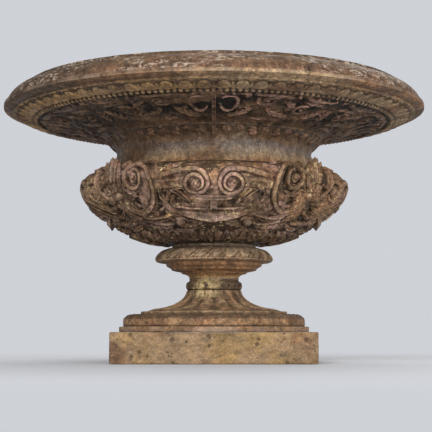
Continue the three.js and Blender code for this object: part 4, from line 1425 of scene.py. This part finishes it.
class VASE_OT_rim(bpy.types.Operator):
    """Makes the turned-over rim, its leaf band and its bead row"""

    bl_idname = "vase.rim"
    bl_label = "Rim"

    def execute(self, context):
        sizes = context.scene.vase_sizes
        low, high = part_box("rim")
        floor, top, widest = low[2], high[2], high[0]
        bead = top - 64.5 * MM
        band = top - 54.5 * MM
        edge_low, edge_high, ovolo_top = band + 8.5 * MM, band + 15.5 * MM, top - 7 * MM
        mouth, tongue_edge = 0.381, 0.404
        soffit = soffit_section().points
        smooth_band = bezier((tongue_edge + 2.6 * MM, band + 3 * MM), (0.413, band + 3.4 * MM),
                             (0.42, edge_low - 3 * MM), (widest, edge_low), 10)
        arris = [(tongue_edge - 0.2 * MM, band - 0.2 * MM), (tongue_edge + 1.2 * MM, band - 0.5 * MM),
                 (tongue_edge + 2.2 * MM, band + 0.4 * MM), (tongue_edge + 2.3 * MM, band + 1.8 * MM)]
        ovolo = bezier((widest - 5 * MM, edge_high + 1.5 * MM), (widest - 8 * MM, edge_high + 16 * MM),
                       (mouth + 23 * MM, ovolo_top - 4 * MM), (mouth + 6 * MM, ovolo_top), 24)
        lip, waist, rebate = mouth - 10 * MM, tongue_edge - 8 * MM, 0.2145
        upper = bezier((lip, ovolo_top), (mouth + 2 * MM, edge_high + 22 * MM), (waist, edge_high + 12 * MM),
                       (waist, edge_high), 10)
        lower = bezier((waist, edge_high), (tongue_edge - 7 * MM, bead + 18 * MM),
                       (tongue_edge - 12 * MM, bead + 13 * MM), (tongue_edge - 22 * MM, bead + 12 * MM), 6)
        inner = stacked((mouth - 9 * MM, top), (lip, ovolo_top), upper, lower,
                        offset(soffit, sizes.wall)[::-5], (rebate, floor + 10 * MM), (rebate, floor))
        groove, start = bead + 1.5 * MM, 0.220
        bed_inner, bed_middle, bed_outer, backing_start = 0.355, 0.3605, 0.366, 0.367
        backing = bezier((backing_start, groove), (0.379, bead + 3.2 * MM), (0.393, bead + 6.4 * MM),
                         (tongue_edge - 1 * MM, band + 1.4 * MM), 10)
        outline = stacked((start, floor), soffit, (bed_inner, groove), (bed_middle, bead + 2.5 * MM),
                          (bed_outer, groove), (backing_start, groove), backing, arris, smooth_band,
                          (widest, edge_high - 1.2 * MM), (widest - 0.3 * MM, edge_high - 0.3 * MM),
                          (widest - 1.4 * MM, edge_high), (widest - 5 * MM, edge_high + 1 * MM), ovolo,
                          (mouth + 3 * MM, ovolo_top + 1 * MM), (mouth + 0.6 * MM, top - 1 * MM),
                          (mouth - 0.4 * MM, top), inner)
        bm = turned(outline, segments=600)

        def relief(spots):
            under = (spots.upward < -0.15) & (spots.radius < 0.351) & (spots.height < bead + 2 * MM)
            calm = smooth_step(spots.radius, 0.222, 0.25) * smooth_step(spots.radius, 0.351, 0.345)
            crinkle = 0.6 * folds(spots.places, 17 * MM, 1.3) + 0.4 * folds(spots.places, 8 * MM, 6.1)
            return under * calm * sizes.soffit_relief * np.clip(crinkle, -0.3, 1)

        finished("rim_casting", bm, rim_iron, ["rim"], relief=relief, crust=0.0009)
        self.leaf_band(context, bead, band, tongue_edge)
        return {"FINISHED"}

    def leaf_band(self, context, bead, band, tongue_edge):
        """The band of tongues with the half-round bead row inside it."""
        sizes = context.scene.vase_sizes
        start, end = (0.3675, bead + 0.4 * MM), (tongue_edge + 0.2 * MM, band + 0.2 * MM)
        bead_start = (sizes.bead_circle - sizes.bead_radius, bead)
        bead_end = (sizes.bead_circle + sizes.bead_radius, bead)
        row = stacked(bead_start, half_round(bead_start, bead_end, sizes.bead_radius, 10))
        face = stacked(start, bezier(start, (0.379, bead + 1.4 * MM), (0.393, bead + 4.6 * MM), end, 26))
        back = [(end[0] - 1 * MM, end[1] + 3 * MM), (0.385, bead + 7 * MM),
                (bead_start[0] + 1 * MM, bead + 2 * MM)]
        bm = turned(stacked(row, face, back), sizes.tongue_count * 18)
        pitch = 360 / sizes.tongue_count

        def relief(spots):
            across = ((spots.angle / pitch) % 1 - 0.5) * np.radians(pitch) * spots.radius
            along = spots.radius - start[0]
            half = 11.5 * MM
            reach = np.hypot(across, np.maximum(0, along - 18 * MM))
            tongue = np.sqrt(np.clip(1 - (reach / half) ** 2, 0, 1))
            groove = np.exp(-(((reach - half - 1.4 * MM) / (1.7 * MM)) ** 2))
            groove *= smooth_step(along, 8 * MM, 20 * MM)
            pit_across, pit_along = np.abs(across) - 14.5 * MM, along - 29 * MM
            pit = np.exp(-((pit_across / (3.2 * MM)) ** 2) - (pit_along / (4.5 * MM)) ** 2)
            strokes = 0.12 * np.cos(math.tau * (across + 0.5 * along) / (4.2 * MM))
            strokes *= smooth_step(along, 4 * MM, 12 * MM)
            edge = smooth_step(along, 36 * MM, 34 * MM)
            on_face = (spots.upward < 0.3) & (along > 0.2 * MM)
            off = on_face * sizes.tongue_relief * (0.5 * tongue + strokes * edge - 0.5 * groove - 1.35 * pit)
            bumps = np.cos(np.radians(spots.angle) * sizes.bead_count)
            on_bead = (spots.radius < bead_end[0] + 0.2 * MM) & (spots.upward < 0.1)
            return off - on_bead * 0.8 * MM * (1 - bumps)

        finished("rim_leaf_band", bm, leaf_band_iron, ["rim"], relief=relief, crust=0.0009)


class VASE_OT_soffit(bpy.types.Operator):
    """Makes the foliage under the rim"""

    bl_idname = "vase.soffit"
    bl_label = "Soffit foliage"

    def execute(self, context):
        section = soffit_section()
        bm = ornament()
        put, put_boss = partial(stroke, bm, section), partial(boss, bm, section)
        relief = context.scene.vase_sizes.soffit_relief
        end = section.length
        put([(0, 0), (0, 0.06), (0, end - 0.004)], 0.0048, relief, strap_form, steps=(40, 8),
            fade=(0.0, 0.05))
        for hand in (1, -1):
            loop = volute_route(section, 5.2, 0.082, 0.0165, 0.0165, 0.93, 190, 1, stretch=2.1) * (hand, 1)
            put(loop, 0.0042, relief, cord_form, steps=(70, 8))
            small = volute_route(section, 11.2, 0.05, 0.0075, 0.0075, 0.95, 190, 1, stretch=1.9) * (hand, 1)
            put(small, 0.003, relief * 0.8, cord_form, steps=(40, 8))
            for angle, along, radius, start in ((18, 0.1, 0.019, 150), (34, 0.07, 0.019, 40)):
                winding = volute_route(section, angle, along, radius, 0.006, 1.3, start, 1, stretch=1.2)
                put(winding * (hand, 1), 0.0046, relief, strap_form, steps=(64, 8), taper=0.55)
                put_boss(hand * angle, along, 0.0055, relief * 1.2)
            self.leaves(put, end, hand, relief)
        repeated(bm, 4)
        finished("rim_soffit_foliage", bm, shaded_soffit_iron, ["rim"], crust=0.001)
        return {"FINISHED"}

    def leaves(self, put, end, hand, relief):
        """The leaves of one half of a quarter, and the row of tips along the bead row."""
        routes = [
            # route, half width, lobes
            ([(4, 0.02), (8, 0.03), (12, 0.045), (15, 0.07)], 0.0085, 5),
            ([(10, 0.125), (15, 0.13), (21, 0.128), (27, 0.118)], 0.0075, 6),
            ([(23, 0.1), (27, 0.09), (29, 0.075), (28, 0.055)], 0.0085, 5),
            ([(20, 0.07), (22, 0.052), (27, 0.04), (33, 0.036)], 0.0085, 5),
            ([(29, 0.125), (33, 0.118), (38, 0.12), (43, 0.128)], 0.0075, 5),
            ([(38, 0.03), (41, 0.045), (42.5, 0.065), (44, 0.09)], 0.0085, 6),
            ([(30, 0.1), (34, 0.103), (39, 0.1), (43, 0.09)], 0.007, 5),
            ([(14, 0.022), (19, 0.02), (25, 0.022), (31, 0.018)], 0.006, 5),
            ([(9, 0.105), (11, 0.118), (10, 0.13), (6, 0.136)], 0.0055, 4),
        ]
        for route, half_width, lobes in routes:
            near_neck = smooth_step(np.array(route)[:, 1].mean(), 0, 0.06)
            put(np.array(route) * (hand, 1), half_width * 1.35, relief * (0.6 + 0.6 * near_neck),
                leaf_form(lobes), steps=(5 * lobes + 6, 8), sweep=0.35, curl=2 * MM, fade=(0.2, 0.15))
        for place in np.arange(2, 45, 3.5):
            tip = [(hand * place, end - 0.001), (hand * (place + 1), end - 0.012),
                   (hand * (place + 2.4), end - 0.02)]
            put(tip, 0.005, relief * 0.8, leaf_form(2), steps=(12, 5), fade=(0.0, 0.2))


class VASE_OT_fasteners(bpy.types.Operator):
    """Gives the rod, the nuts and the bolts their rust"""

    bl_idname = "vase.fasteners"
    bl_label = "Fasteners"

    def execute(self, context):
        rust = fastener_rust(context.scene.vase_colours)
        for name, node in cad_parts.items():
            if any(word in name for word in ("bolt", "nut", "rod", "washer")):
                node.data.materials.clear()
                node.data.materials.append(rust)
        return {"FINISHED"}


class VASE_PT_panel(bpy.types.Panel):
    """Lists the settings and the pieces"""

    bl_idname = "VASE_PT_panel"
    bl_label = "Garden Vase"
    bl_space_type = "VIEW_3D"
    bl_region_type = "UI"
    bl_category = "Garden Vase"

    def draw(self, context):
        for group in (context.scene.vase_sizes, context.scene.vase_colours):
            for name in group.__annotations__:
                self.layout.prop(group, name)
        for operator in OPERATORS:
            self.layout.operator(operator.bl_idname)


OPERATORS = (
    VASE_OT_stage,
    VASE_OT_plinth,
    VASE_OT_foot,
    VASE_OT_collar,
    VASE_OT_bowl,
    VASE_OT_scrollwork,
    VASE_OT_foliage,
    VASE_OT_neck,
    VASE_OT_rim,
    VASE_OT_soffit,
    VASE_OT_fasteners,
)
CLASSES = (VaseSizes, VaseColours, *OPERATORS, VASE_PT_panel)


def register():
    for item in CLASSES:
        bpy.utils.register_class(item)
    bpy.types.Scene.vase_sizes = PointerProperty(type=VaseSizes)
    bpy.types.Scene.vase_colours = PointerProperty(type=VaseColours)


def unregister():
    del bpy.types.Scene.vase_colours
    del bpy.types.Scene.vase_sizes
    for item in reversed(CLASSES):
        bpy.utils.unregister_class(item)


def main():
    register()
    for operator in OPERATORS:
        group, name = operator.bl_idname.split(".")
        getattr(getattr(bpy.ops, group), name)()


if __name__ == "__main__":
    main()
